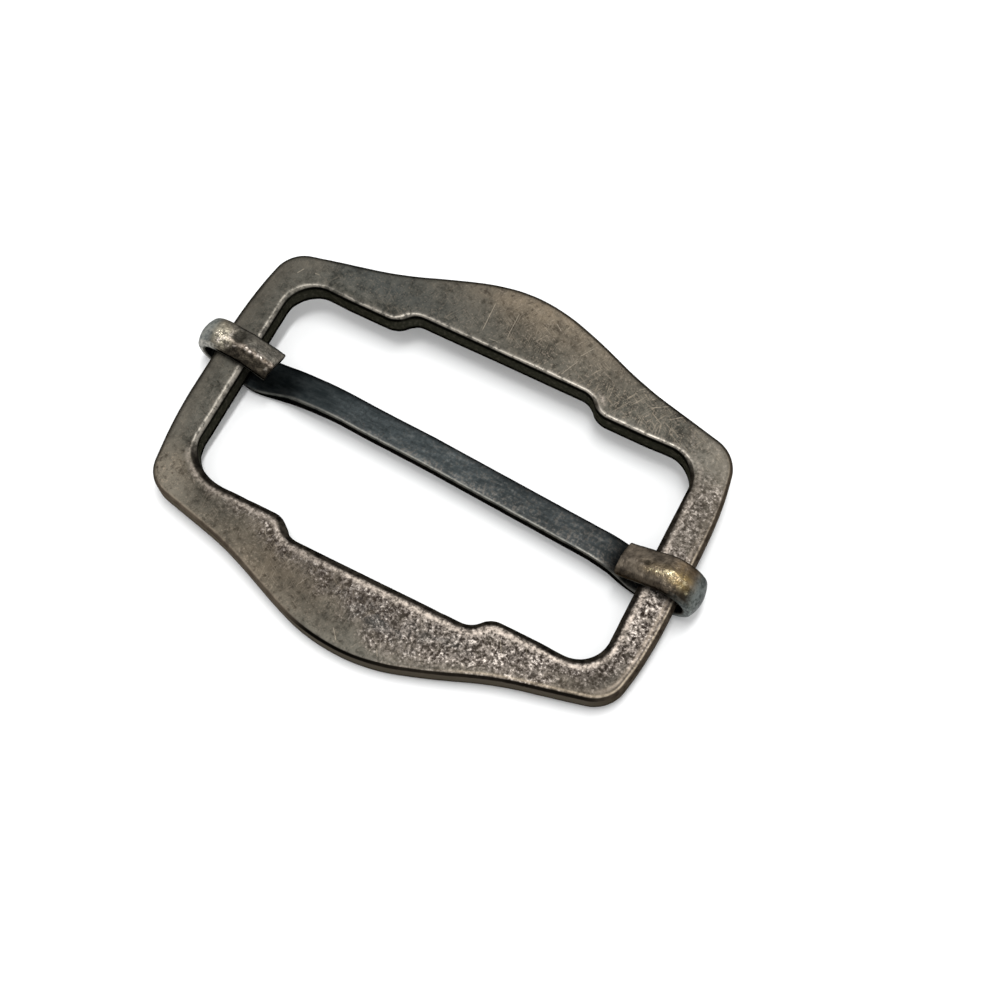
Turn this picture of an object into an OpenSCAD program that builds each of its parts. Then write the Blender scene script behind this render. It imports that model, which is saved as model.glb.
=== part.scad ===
// Strap adjuster: a flat waisted frame with a loose bar that slides along its two short rails.
// Millimetres. The origin is under the middle of the opening, level with the bar's lowest point.
// X runs along the opening's length, Y from rail to rail, +Z out of the frame's face.

/* [Frame] */
// Length of the opening: the webbing width that the frame takes
opening_length = 38; // [30:0.5:50]
// Height of the opening beside the short rails
opening_height = 19.75; // [17:0.25:26]
// Extra depth of the shallow recess in the middle of each long rail
recess_depth = 1.37; // [0.6:0.05:1.8]
// Distance from the opening's centre to the middle of each recess step
recess_reach = 8.95; // [7:0.05:10]
// Length of each sloping recess step
recess_step = 2.9; // [2.2:0.1:3.6]
// How far the near rail's recess sits to the right of the opening's centre
recess_shift = 0.3; // [-0.5:0.05:0.5]
// Inside corner radius of the opening
opening_corner = 2.7; // [1.5:0.1:3.5]
// Width of a short rail at its middle
side_rail = 3.2; // [2.6:0.1:4]
// Thickness of the plate
plate_thickness = 2.2; // [1.6:0.1:2.6]
// Width of the softened outer edge
outer_edge = 0.45; // [0.2:0.05:0.6]
// Width of the softened edge around the opening
inner_edge = 0.25; // [0.1:0.05:0.4]

/* [Wavy outline] */
// How far the outline sits to the right of the opening's centre
outline_shift = 0.15; // [-0.3:0.05:0.3]
// How far the outline sits towards the near side
outline_drop = 0.1; // [-0.3:0.05:0.3]
// Outside corner radius
corner_radius = 3; // [2.4:0.1:3.6]
// Direction of the shoulder beside each corner, off the X axis
shoulder_slope = 12.8; // [10:0.2:15]
// Length of the straight shoulder
shoulder_length = 4.9; // [3.5:0.1:5.5]
// Radius of the hollow between the shoulder and the flank
hollow_radius = 39; // [25:1:50]
// Direction of the flank that climbs to the crest, off the X axis
flank_slope = 20.3; // [18:0.1:23]
// Radius of the rounded crest in the middle of each long rail
crest_radius = 14.5; // [10:0.5:18]

/* [Sliding bar] */
// Width of the bar between its ends
bar_width = 2.55; // [2:0.05:2.9]
// Width of the strip where it curls round the right rail
curl_width = 3.05; // [2.6:0.05:3.4]
// Thickness of the strip at its crown
strip_thickness = 1.1; // [0.8:0.05:1.3]
// Thickness of the strip at its long edges
strip_edge = 0.68; // [0.5:0.02:0.8]
// How far each curl stands out past the middle of its short rail
curl_reach = 2; // [1.7:0.1:2.6]
// Height of the bar's upper face below the frame's face, at the middle
bar_depth = 0.55; // [0.4:0.05:0.9]
// Place of the bar's middle, along the short rails
bar_place = 0.72; // [-3:0.02:3]
// Turn of the loose bar about the upright axis
bar_skew = -3.5; // [-4:0.1:0]

/* [Hidden] */
half = opening_length / 2;
end_y = opening_height / 2;
side_x = half + side_rail;
frame_base = 1.65;
frame_top = frame_base + plate_thickness;
eps = 0.3;
full = 0.001;
tuck_radius = 1.3;
bar_edge = strip_thickness - 0.15;
nib = 0.12;
arc_step = 7.5;
crown_steps = 8;

// One row for each end of the bar. Places along X are measured in from the end
// of the opening; widths are given by how much narrower they are than curl_width.
//  side  gap     rise    start   place   bend    flat    dip     place    curl      tab's     curl     tab's
//  of    below   above   of the  where   radius  length  angle   of the   narrower  end       moved    end
//  X     the     the     down-   it is   of the  over    of the  tab's    by        narrower  aside    moved
//        rail    face    bend    level   down-   the     tab     end                by        by       aside
//                                again   bend    rail                                                  by
ends = [
  [-1,    0.55,   0.30,   9.7,    0.4,    14.5,   2.2,    18,     2.15,    0.25,     0.2,     -0.21,   -0.27],
  [ 1,    0.25,   1.02,   4.8,   -0.4,     5.4,   0,      23,     1.9,    -0.1,      0.12,    -0.05,   -0.2]
];

// Outline quarters, walked from the short rail's middle to the long rail's middle.
// Row: radius (0 for a straight), turn to the left in degrees, length of a straight.
side_straight = 2.95;
side_turn = 10.1;
corner_turn = 90 - side_turn - shoulder_slope;
hollow_turn = flank_slope - shoulder_slope;
outer_start = [
  [0, 0, side_straight],
  [40, side_turn, 0],
  [corner_radius, corner_turn, 0],
  [0, 0, shoulder_length],
  [hollow_radius, -hollow_turn, 0]
];
flank_foot = walk_end([side_x, 0, 90], outer_start);
flank_length = (flank_foot[0] - crest_radius * sin(flank_slope)) / cos(flank_slope);
outer_path = concat(outer_start, [[0, 0, flank_length], [crest_radius, flank_slope, 0]]);

step_radius = (recess_step * recess_step + recess_depth * recess_depth) / (4 * recess_depth);
step_turn = 2 * atan(recess_depth / recess_step);
function inner_path(reach) = [
  [0, 0, end_y - opening_corner],
  [opening_corner, 90, 0],
  [0, 0, half - opening_corner - reach - recess_step / 2],
  [step_radius, -step_turn, 0],
  [step_radius, step_turn, 0],
  [0, 0, reach - recess_step / 2]
];
// Reach of a quarter's recess step: sx and sy are the quarter's side of X and of Y.
function reach_in(sx, sy) = recess_reach + (sy < 0 ? sx * recess_shift : 0);

// Walking a path: a place is [x, y, heading].
function arc_centre(p, s) =
  let (d = s[1] > 0 ? 1 : -1) [p[0] - d * s[0] * sin(p[2]), p[1] + d * s[0] * cos(p[2])];
function walk(p, s) =
  s[0] == 0
  ? [p[0] + s[2] * cos(p[2]), p[1] + s[2] * sin(p[2]), p[2]]
  : let (c = arc_centre(p, s), d = s[1] > 0 ? 1 : -1, h = p[2] + s[1])
    [c[0] + d * s[0] * sin(h), c[1] - d * s[0] * cos(h), h];
function walk_end(p, path, i = 0) = i == len(path) ? p : walk_end(walk(p, path[i]), path, i + 1);
function places(p, path, i = 0) =
  i == len(path) ? [p] : concat([p], places(walk(p, path[i]), path, i + 1));
function xy(p) = [p[0], p[1]];
// Every arc is drawn a hair full, so it crosses its neighbours instead of only
// touching them; the tighter of two arcs that bend the same way is fuller still.
function bends(path, i) = i < 0 || i >= len(path) ? 0 : sign(path[i][1]);
function tighter(path, i, j) =
  bends(path, i) != 0 && bends(path, i) == bends(path, j) && path[i][0] < path[j][0];
function full_of(path, i) = (tighter(path, i, i - 1) || tighter(path, i, i + 1) ? 2 : 1) * full;
// How far from the shared tangent point a full arc crosses its neighbour.
function reach_of(path, i) = sqrt(2 * path[i][0] * full_of(path, i));
// How far a piece runs on past its shared end with piece j. metal is 1 where the
// metal lies to the left of the path and -1 where it lies to the right.
function run_on(path, i, j, metal) =
  j < 0 || j >= len(path) ? 0.2
  : bends(path, i) == 0 ? (metal * bends(path, j) > 0 ? 1.5 : 0.5) * reach_of(path, j)
  : metal * bends(path, i) < 0 ? 1.5 * reach_of(path, i)
  : tighter(path, j, i) ? 1.5 * reach_of(path, j)
  : 0.5 * reach_of(path, i);
function at(r, a) = [r * cos(a), r * sin(a)];

// An arc that bulges out of an outline: the full disc, kept to its own stretch.
module bulge(p, path, i) {
  s = path[i];
  r = s[0] + full_of(path, i);
  deep = max(0, s[0] - 2.5);
  grow = 1.5 * reach_of(path, i) / s[0] * 180 / PI;
  a0 = p[2] - 90 - (i == 0 || tighter(path, i - 1, i) ? 0 : grow);
  a1 = p[2] - 90 + s[1] + (i == len(path) - 1 || tighter(path, i + 1, i) ? 0 : grow);
  c = arc_centre(p, s);
  translate(c) intersection() {
    circle(r = r, $fn = 180);
    polygon(concat(deep > 0 ? [at(deep, a1), at(deep, a0)] : [[0, 0]],
      [at(r + 2, a0), at((r + 2) / cos((a1 - a0) / 2), (a0 + a1) / 2), at(r + 2, a1)]));
  }
}

// The area between the origin and one quarter of an outline.
module quarter_area(start, path) {
  pl = places(start, path);
  difference() {
    union() {
      polygon(concat([[0, 0]], [for (p = pl) [p[0], p[1]]]));
      for (i = [0 : len(path) - 1])
        if (path[i][1] > 0) bulge(pl[i], path, i);
    }
    for (i = [0 : len(path) - 1])
      if (path[i][1] < 0)
        translate(arc_centre(pl[i], path[i])) circle(r = path[i][0] + full_of(path, i), $fn = 180);
  }
}

// A list of points in its own order, or backwards where the shape is flipped.
function turned(l, d) = d > 0 ? l : [for (i = [len(l) - 1 : -1 : 0]) l[i]];

// The wedges that soften the upper edge of an outline.
module edge_wedge(start, path, w, metal) {
  pl = places(start, path);
  tri = [[-w - eps, eps], [eps, -w - eps], [eps, eps]];
  for (i = [0 : len(path) - 1]) {
    p = pl[i];
    s = path[i];
    before = run_on(path, i, i - 1, metal);
    after = run_on(path, i, i + 1, metal);
    if (s[0] == 0)
      translate([p[0] - before * cos(p[2]), p[1] - before * sin(p[2]), 0])
        rotate([0, 0, p[2] + 90]) rotate([90, 0, 0]) linear_extrude(s[2] + before + after)
          polygon(turned([for (t = tri) [-metal * t[0], t[1]]], -metal));
    else {
      d = sign(s[1]);
      more = (before + after) / s[0] * 180 / PI;
      first = (d > 0 ? before : after) / s[0] * 180 / PI;
      translate(concat(arc_centre(p, s), [0]))
        rotate([0, 0, (d > 0 ? p[2] - 90 : p[2] + s[1] + 90) - first])
          rotate_extrude(angle = abs(s[1]) + more, $fn = 180)
            polygon(turned([for (t = tri) [s[0] + full_of(path, i) + metal * d * t[0], t[1]]], metal * d));
    }
  }
}

// One quarter of a shape, turned to its own side of X and of Y.
module on_side(sx, sy) {
  mirror([sx < 0 ? 1 : 0, 0, 0]) mirror([0, sy < 0 ? 1 : 0, 0]) children();
}

// The wedges of one quarter, on both faces of the plate.
module soft_edges(start, path, w, metal) {
  for (m = [0, 1]) translate([0, 0, m * plate_thickness]) mirror([0, 0, 1 - m])
    edge_wedge(start, path, w, metal);
}

module frame() {
  color([0.34, 0.30, 0.25])
  translate([0, 0, frame_base]) difference() {
    translate([outline_shift, -outline_drop, 0])
      for (sx = [-1, 1], sy = [-1, 1]) on_side(sx, sy)
        linear_extrude(plate_thickness) quarter_area([side_x, 0, 90], outer_path);
    for (sx = [-1, 1], sy = [-1, 1]) on_side(sx, sy)
      translate([0, 0, -1]) linear_extrude(plate_thickness + 2)
        quarter_area([half, 0, 90], inner_path(reach_in(sx, sy)));
    translate([outline_shift, -outline_drop, 0])
      for (sx = [-1, 1], sy = [-1, 1]) on_side(sx, sy)
        soft_edges([side_x, 0, 90], outer_path, outer_edge, 1);
    for (sx = [-1, 1], sy = [-1, 1]) on_side(sx, sy)
      soft_edges([half, 0, 90], inner_path(reach_in(sx, sy)), inner_edge, -1);
  }
}

// The strip's side view, as the line that its flat face follows from the bar's
// middle to the tab's end: down, level under the rail, round it and back over it.
// Row: radius (0 for a straight), turn towards the flat face, length of a
// straight, then the strip at the row's end: width, height of its long edges,
// and how far it is moved aside.
function drop_of(e) = plate_thickness + e[1] - bar_depth;
function start_x(e) = half - e[3];
function level_x(e) = half - e[4];
function tab_x(e) = half - e[8];
function bend_turn(e) = 2 * atan(drop_of(e) / (level_x(e) - start_x(e)));
function level_radius(e) = (level_x(e) - start_x(e)) / sin(bend_turn(e)) - e[5];
function curl_radius(e) = (plate_thickness + e[1] + e[2]) / 2;
function curl_x(e) = side_x + curl_reach - strip_thickness - curl_radius(e);
function curl_strip(e) = [curl_width - e[9], strip_edge, e[11]];
function tab_strip(e) = [curl_width - e[10], strip_edge, e[12]];
function row(radius, turn, length, strip) = concat([radius, turn, length], strip);
function tab_rows(e) =
  e[6] > 0
  ? let (run = (curl_x(e) - tab_x(e) - e[6] - tuck_radius * sin(e[7])) / cos(e[7]))
    [row(curl_radius(e), 180, 0, curl_strip(e)), row(0, 0, e[6], curl_strip(e)),
     row(tuck_radius, e[7], 0, curl_strip(e)), row(0, 0, run, tab_strip(e))]
  : let (run = (curl_x(e) - tab_x(e) - curl_radius(e) * sin(e[7])) / cos(e[7]))
    [row(curl_radius(e), 180 + e[7], 0, curl_strip(e)), row(0, 0, run, tab_strip(e))];
function end_rows(e) = concat([
    row(0, 0, start_x(e), [bar_width, bar_edge, 0]),
    row(e[5], -bend_turn(e), 0, [bar_width + 0.6 * (curl_width - e[9] - bar_width), bar_edge, e[11] / 2]),
    row(level_radius(e), bend_turn(e), 0, curl_strip(e)),
    row(0, 0, curl_x(e) - level_x(e), curl_strip(e))
  ], tab_rows(e));

// Stations [x, z, heading, width, edge, aside] along the rows, with an arc cut into
// steps of at most arc_step degrees.
function part_of(r, f) = r[0] == 0 ? [0, 0, r[2] * f] : [r[0], r[1] * f, 0];
function steps_of(r) = r[0] == 0 ? 1 : ceil(abs(r[1]) / (r[0] > 4 ? arc_step / 2 : arc_step));
function stations(p, rows, i = 0) =
  i == len(rows) ? [p]
  : let (r = rows[i], n = steps_of(r))
    concat(
      [for (k = [0 : n - 1])
        let (f = k / n, q = k == 0 ? p : walk(p, part_of(r, f)))
        concat([q[0], q[1], q[2]], [for (j = [3 : 5]) p[j] + f * (r[j] - p[j])])],
      stations(concat(walk(p, part_of(r, 1)), [r[3], r[4], r[5]]), rows, i + 1));

// One ring of the strip's section at a station: [across, up from the flat face].
function crown_at(u, w, edge) =
  let (rise = max(0.05, strip_thickness - edge), rad = (w * w / 4 + rise * rise) / (2 * rise))
  -strip_thickness + rad - sqrt(rad * rad - u * u);
function section(w, edge) = concat(
  [[w / 2 - nib, 0], [nib - w / 2, 0], [-w / 2, -nib]],
  [for (k = [0 : crown_steps]) let (u = w * (k / crown_steps - 0.5)) [u, crown_at(u, w, edge)]],
  [[w / 2, -nib]]);
function ring(q) = [for (c = section(q[3], q[4])) [q[0] - c[1] * sin(q[2]), c[0] + q[5], q[1] + c[1] * cos(q[2])]];

module slide_bar() {
  right = stations([0, 0, 0, bar_width, bar_edge, 0], end_rows(ends[1]));
  left = stations([0, 0, 0, bar_width, bar_edge, 0], end_rows(ends[0]));
  // from the left tab's end to the right tab's end
  line = concat([for (i = [len(left) - 1 : -1 : 1]) let (q = left[i]) [-q[0], q[1], -q[2], q[3], q[4], q[5]]],
                [for (i = [1 : len(right) - 1]) right[i]]);
  m = crown_steps + 5;
  n = len(line);
  color([0.20, 0.20, 0.21])
  translate([0, bar_place, frame_top - bar_depth]) rotate([0, 0, bar_skew])
    polyhedron(
      points = [for (q = line) for (c = ring(q)) c],
      faces = concat(
        [[for (k = [0 : m - 1]) k]],
        [for (i = [0 : n - 2]) for (k = [0 : m - 1])
          let (a = i * m + k, b = i * m + (k + 1) % m) [b, a, a + m]],
        [for (i = [0 : n - 2]) for (k = [0 : m - 1])
          let (a = i * m + k, b = i * m + (k + 1) % m) [b, a + m, b + m]],
        [[for (k = [m - 1 : -1 : 0]) (n - 1) * m + k]]),
      convexity = 6);
}

frame();
slide_bar();
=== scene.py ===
"""Looks of the strap adjuster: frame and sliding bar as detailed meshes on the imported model."""
import math

import bpy
import numpy as np
from mathutils import Matrix, Vector


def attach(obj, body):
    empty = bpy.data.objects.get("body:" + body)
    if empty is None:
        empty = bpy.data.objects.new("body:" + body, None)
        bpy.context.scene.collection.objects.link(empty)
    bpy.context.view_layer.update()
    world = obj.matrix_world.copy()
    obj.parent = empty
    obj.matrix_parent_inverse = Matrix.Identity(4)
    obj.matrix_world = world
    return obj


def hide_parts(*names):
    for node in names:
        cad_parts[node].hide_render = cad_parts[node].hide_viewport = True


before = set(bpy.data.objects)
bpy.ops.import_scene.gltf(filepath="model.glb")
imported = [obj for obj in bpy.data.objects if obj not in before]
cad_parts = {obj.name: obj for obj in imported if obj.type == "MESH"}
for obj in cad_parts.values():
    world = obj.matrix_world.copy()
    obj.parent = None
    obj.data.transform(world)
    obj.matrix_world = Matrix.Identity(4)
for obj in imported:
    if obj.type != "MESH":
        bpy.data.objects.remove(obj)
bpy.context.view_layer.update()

MM = 0.001

# ---------------------------------------------------------------- noise, in mm
def mixed(ix, iy, iz, seed):
    """A fixed number from 0 to 1 for each lattice corner."""
    m = np.uint64(0xFFFFFFFF)
    h = (ix.astype(np.int64).astype(np.uint64) * np.uint64(374761393)
         + iy.astype(np.int64).astype(np.uint64) * np.uint64(668265263)
         + iz.astype(np.int64).astype(np.uint64) * np.uint64(2147483629)
         + np.uint64(seed * 144665)) & m
    h = ((h ^ (h >> np.uint64(15))) * np.uint64(2246822519)) & m
    h = ((h ^ (h >> np.uint64(13))) * np.uint64(3266489917)) & m
    h = h ^ (h >> np.uint64(16))
    return h.astype(float) / 4294967296.0


def noise(p, size, seed):
    """Smooth noise from -1 to 1 at points p, with bumps about size across."""
    q = np.asarray(p, float) / size
    i = np.floor(q).astype(np.int64)
    f = q - i
    f = f * f * f * (f * (6 * f - 15) + 10)
    out = np.zeros(q.shape[:-1])
    for dx in (0, 1):
        for dy in (0, 1):
            for dz in (0, 1):
                w = ((f[..., 0] if dx else 1 - f[..., 0])
                     * (f[..., 1] if dy else 1 - f[..., 1])
                     * (f[..., 2] if dz else 1 - f[..., 2]))
                out += w * mixed(i[..., 0] + dx, i[..., 1] + dy, i[..., 2] + dz, seed)
    return 2 * out - 1


def rough(p, size, seed, steps=3, gain=0.5):
    total, top, amp = 0.0, 0.0, 1.0
    for k in range(steps):
        total = total + amp * noise(p, size / 2 ** k, seed + 31 * k)
        top += amp
        amp *= gain
    return total / top


def ramp(x, a, b):
    t = np.clip((np.asarray(x, float) - a) / (b - a), 0, 1)
    return t * t * (3 - 2 * t)


def blob(p, c, r):
    """1 at c, falling smoothly to 0 about 2 r away."""
    d = np.asarray(p, float)[..., :len(c)] - np.asarray(c, float)
    return np.exp(-(d / r).__pow__(2).sum(-1))


# ------------------------------------------------------- outlines, as in part.scad
OPENING_L, OPENING_H, RECESS_D = 38.0, 19.75, 1.37
RECESS_REACH, RECESS_STEP, RECESS_SHIFT, OPENING_R = 8.95, 2.9, 0.3, 2.7
SIDE_RAIL, PLATE, OUTLINE_SHIFT, OUTLINE_DROP = 3.2, 2.2, 0.15, 0.1
CORNER_R, SHOULDER, SHOULDER_L, HOLLOW_R, FLANK, CREST_R = 3.0, 12.8, 4.9, 39.0, 20.3, 14.5
HALF, END_Y, SIDE_X = OPENING_L / 2, OPENING_H / 2, OPENING_L / 2 + SIDE_RAIL
BASE = 1.65
TOP = BASE + PLATE


def sind(a): return math.sin(math.radians(a))
def cosd(a): return math.cos(math.radians(a))


def centre(p, s):
    d = 1 if s[1] > 0 else -1
    return (p[0] - d * s[0] * sind(p[2]), p[1] + d * s[0] * cosd(p[2]))


def walk(p, s):
    if s[0] == 0:
        return (p[0] + s[2] * cosd(p[2]), p[1] + s[2] * sind(p[2]), p[2])
    c, d, h = centre(p, s), (1 if s[1] > 0 else -1), p[2] + s[1]
    return (c[0] + d * s[0] * sind(h), c[1] - d * s[0] * cosd(h), h)


def run(s):
    return s[2] if s[0] == 0 else s[0] * abs(math.radians(s[1]))


def trace(start, path, where):
    """Points and headings at the distances `where` along a path."""
    out = np.zeros((len(where), 3))
    p, a = start, 0.0
    for k, s in enumerate(path):
        b = a + run(s)
        last = k == len(path) - 1
        for j in np.nonzero((where >= a - 1e-9) & ((where < b) | last))[0]:
            f = (where[j] - a) / (b - a)
            part = (0, 0, s[2] * f) if s[0] == 0 else (s[0], s[1] * f, 0)
            out[j] = walk(p, part)
        p, a = walk(p, s), b
    return out


outer_start = [(0, 0, 2.95), (40, 10.1, 0), (CORNER_R, 90 - 10.1 - SHOULDER, 0),
               (0, 0, SHOULDER_L), (HOLLOW_R, -(FLANK - SHOULDER), 0)]
foot = (SIDE_X, 0, 90)
for s in outer_start:
    foot = walk(foot, s)
outer_path = outer_start + [(0, 0, (foot[0] - CREST_R * sind(FLANK)) / cosd(FLANK)), (CREST_R, FLANK, 0)]
step_r = (RECESS_STEP ** 2 + RECESS_D ** 2) / (4 * RECESS_D)
step_t = 2 * math.degrees(math.atan(RECESS_D / RECESS_STEP))


def inner_path(reach):
    return [(0, 0, END_Y - OPENING_R), (OPENING_R, 90, 0), (0, 0, HALF - OPENING_R - reach - RECESS_STEP / 2),
            (step_r, -step_t, 0), (step_r, step_t, 0), (0, 0, reach - RECESS_STEP / 2)]


N_QUARTER = 232


def quarter(sx, sy):
    """Matching stations on both outlines of one quarter: points and headings."""
    ip = inner_path(RECESS_REACH + (sx * RECESS_SHIFT if sy < 0 else 0))
    lo = [run(s) for s in outer_path]
    li = [run(s) for s in ip]
    outer_knots = [0, lo[0] + lo[1], sum(lo[:3]), sum(lo)]
    inner_knots = [0, li[0], li[0] + li[1], sum(li)]
    so = np.linspace(0, sum(lo), N_QUARTER + 1)
    si = np.interp(so, outer_knots, inner_knots)
    o = trace((SIDE_X, 0, 90), outer_path, so)
    i = trace((HALF, 0, 90), ip, si)
    out = []
    for q, away in ((i, 1), (o, 1)):
        n = np.c_[np.sin(np.radians(q[:, 2])), -np.cos(np.radians(q[:, 2]))]   # right of the way: away from the middle
        out.append((q[:, :2] * [sx, sy], n * [sx, sy]))
    return out


def around():
    """Both outlines all the way round, anticlockwise from the right rail's middle."""
    parts = []
    for sx, sy, back in ((1, 1, False), (-1, 1, True), (-1, -1, False), (1, -1, True)):
        (pi, ni), (po, no) = quarter(sx, sy)
        rows = np.stack([pi, ni, po, no])
        if back:
            rows = rows[:, ::-1]
        parts.append(rows[:, :-1])
    return np.concatenate(parts, axis=1)


# ------------------------------------------------------------------ frame mesh
def edge_line(n_bend=4, n_flat=3):
    """A worn edge from the wall up to the face in units: (share of width, share of depth, round on wall, round on face).
    Returned as weights so that width, depth and rounding can change along the rail."""
    rows = []
    for t in np.linspace(0, 1, n_bend + 1):          # bend out of the wall
        rows.append(("w", t))
    for t in np.linspace(0, 1, n_flat + 2)[1:-1]:    # the flat of the bevel
        rows.append(("f", t))
    for t in np.linspace(0, 1, n_bend + 1):          # bend into the face
        rows.append(("t", t))
    return rows


def edge_points(width, depth, soft):
    """(distance in from the wall, depth below the face) for arrays of width, depth and softness."""
    width, depth, soft = (np.asarray(a, float) for a in (width, depth, soft))
    length = np.hypot(width, depth)
    ux, uy = width / length, depth / length
    zero = np.zeros_like(width)
    w0, w1, w2 = (zero, depth + soft), (zero, depth), (soft * ux, depth - soft * uy)
    t0, t1, t2 = (width - soft * ux, soft * uy), (width, zero), (width + soft, zero)
    out = []
    for kind, t in edge_line():
        if kind == "f":
            out.append(tuple(w2[k] + t * (t0[k] - w2[k]) for k in (0, 1)))
        else:
            a, b, c = (w0, w1, w2) if kind == "w" else (t0, t1, t2)
            out.append(tuple((1 - t) ** 2 * a[k] + 2 * t * (1 - t) * b[k] + t * t * c[k] for k in (0, 1)))
    return np.array(out)          # (points, 2, stations)


EDGE_N = len(edge_line())


pi, ni, po, no = around()
po = po + [OUTLINE_SHIFT, -OUTLINE_DROP]
n_st = len(pi)
# what a hand-finished outline adds to the model's, measured every few millimetres, in mm outwards: (station, amount)
OUTLINE_BY = [(0, 0.00), (30, 0.00), (52, 0.06), (65, 0.05), (80, -0.04), (91, -0.08), (117, -0.07), (143, -0.07), (160, -0.04), (175, 0.03),
              (190, 0.00), (208, -0.09), (234, -0.09), (255, -0.14), (273, -0.09), (286, -0.08), (303, -0.14), (325, -0.12), (348, -0.08), (364,
              -0.10), (385, -0.16), (403, -0.14), (429, -0.14), (468, -0.12), (520, -0.12), (533, -0.13), (547, 0.02), (561, 0.03), (587, 0.01),
              (603, 0.05), (617, 0.14), (631, 0.20), (645, 0.26), (659, 0.26), (673, 0.15), (687, 0.09), (715, 0.09), (729, 0.15), (743, 0.21),
              (757, 0.20), (771, 0.13), (785, 0.05), (799, 0.01), (813, 0.00), (827, -0.04), (841, -0.08), (855, -0.03), (871, 0.03), (884,
              0.00), (928, 0.00)]
by = np.interp(np.arange(n_st), *np.array(OUTLINE_BY).T)
soft_k = np.exp(-(np.arange(-15, 16) / 6.0) ** 2)
by = np.convolve(np.r_[by[-15:], by, by[:15]], soft_k / soft_k.sum(), "valid")
po = po + no * by[:, None]


def round_corner(p, n, sx, sy, rx, ry):
    """A rounder corner of the opening: points outside the larger arc move onto it."""
    r = np.array([rx, ry])
    c = np.array([sx * (HALF - rx), sy * (END_Y - ry)])
    d = (p - c) * [sx, sy]
    away = np.hypot(*(d / r).T)
    hit = (d[:, 0] > 0) & (d[:, 1] > 0) & (away > 1)
    u = (p - c) / r ** 2
    u = u / np.hypot(*u.T)[:, None]
    return np.where(hit[:, None], c + (p - c) / away[:, None], p), np.where(hit[:, None], u, n)


pi, ni = round_corner(pi, ni, -1, -1, 4.5, 3.25)
pi, ni = round_corner(pi, ni, -1, 1, 2.9, 2.9)
# the opening's long walls stand up to a tenth of a millimetre further in than the model's, not at its corners
mid_span = 1 - ramp(np.abs(pi[:, 0]), 13.8, 16.6)
pi = pi - np.c_[0 * mid_span, np.where(ni[:, 1] > 0, 0.07, -0.11) * mid_span]

# widths of the worn edges, a little different from place to place
vi = rough(np.c_[pi, 0 * pi[:, 0]], 2.2, 5, 3)
vo = rough(np.c_[po, 0 * po[:, 0]], 4.0, 9, 3)
right_side = np.clip(no[:, 0], 0, 1) ** 2
far_side = np.clip(ramp(no[:, 1], -0.25, 0.35) + ramp(-no[:, 0], 0.25, 0.8), 0, 1)
near_in = np.clip(np.where(ni[:, 0] < 0, ramp(-ni[:, 1], 0.25, 0.75), ramp(-ni[:, 1], -0.1, 0.5)) + ramp(ni[:, 0], 0.4, 0.95), 0, 1)    # inner edges of the near and right rails
left_in = ramp(-ni[:, 0], 0.4, 0.95)
up_right = near_in * ramp(ni[:, 0], 0.4, 0.95) * ramp(pi[:, 1], 3.5, 6)
w_in = (0.20 + 0.22 * near_in + 0.11 * left_in - 0.18 * up_right) * (1 + 0.28 * vi)
w_out = (0.21 - 0.01 * right_side + 0.06 * far_side) * (1 + 0.12 * vo)
d_out = w_out * (1.1 - 0.55 * far_side * (1 - right_side))
edges = {
    "top_in": edge_points(w_in, (0.14 + 0.16 * near_in) * (1 + 0.2 * vi), 0.055 + 0 * vi),
    "top_out": edge_points(w_out, d_out, 0.075 + 0 * vo),
    "low_in": edge_points(0.22 + 0 * vi, 0.22 + 0 * vi, 0.09 + 0 * vi),
    "low_out": edge_points(0.30 * (1 + 0.15 * vo), 0.30 + 0 * vo, 0.10 + 0 * vo),
}
EDGE_STEPS = (0.07, 0.15, 0.24, 0.35, 0.48, 0.64, 0.84)     # mm in from each edge of the face
N_TOP, N_LOW, N_WALL = 14, 8, 8
cols, kind, turn = [], [], []              # positions (stations, 3), which part, 0 wall to 1 face on an edge


def put(p, z, k, q=0.0):
    cols.append(np.c_[p, z])
    kind.append(k)
    turn.append(q)


def edge_cols(name, base, n, face_z, way, k, flip):
    e = edges[name]
    order = range(len(e) - 1, -1, -1) if flip else range(len(e))
    for j in order:
        put(base + way * n * e[j, 0][:, None], face_z + (-1 if face_z > 2.5 else 1) * e[j, 1], k, j / (EDGE_N - 1))


# inner edge up to the face, across it, down the outer side, back along the underside
edge_cols("top_in", pi, ni, TOP, 1, 1, False)
a = cols[-1].copy()
e = edges["top_out"][-1]
b = np.c_[po - no * e[0][:, None], np.full(n_st, TOP)]
wide = np.hypot(*(b - a)[:, :2].T)[:, None]
by_edge = [d / wide for d in EDGE_STEPS]
t0, t1 = by_edge[-1], 1 - by_edge[-1]
for t in by_edge + [t0 + (t1 - t0) * t for t in np.linspace(0, 1, N_TOP + 2)[1:-1]] + [1 - t for t in by_edge[::-1]]:
    q = a + (b - a) * t
    put(q[:, :2], q[:, 2], 0)
edge_cols("top_out", po, no, TOP, -1, 7, True)
za, zb = cols[-1][:, 2], BASE + edges["low_out"][0, 1]
for t in np.linspace(0, 1, N_WALL + 2)[1:-1]:
    put(po, za + (zb - za) * t, 6, 1 - t)
edge_cols("low_out", po, no, BASE, -1, 5, False)
a = cols[-1].copy()
e = edges["low_in"][-1]
b = np.c_[pi + ni * e[0][:, None], np.full(n_st, BASE)]
for t in np.linspace(0, 1, N_LOW + 2)[1:-1]:
    q = a + (b - a) * t
    put(q[:, :2], q[:, 2], 4)
edge_cols("low_in", pi, ni, BASE, 1, 3, True)
za, zb = cols[-1][:, 2], cols[0][:, 2]
for t in np.linspace(0, 1, N_WALL + 2)[1:-1]:
    put(pi, za + (zb - za) * t, 2, t)

F = np.stack(cols, axis=1)                     # (stations, around, 3), mm
kind = np.array(kind)
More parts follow.
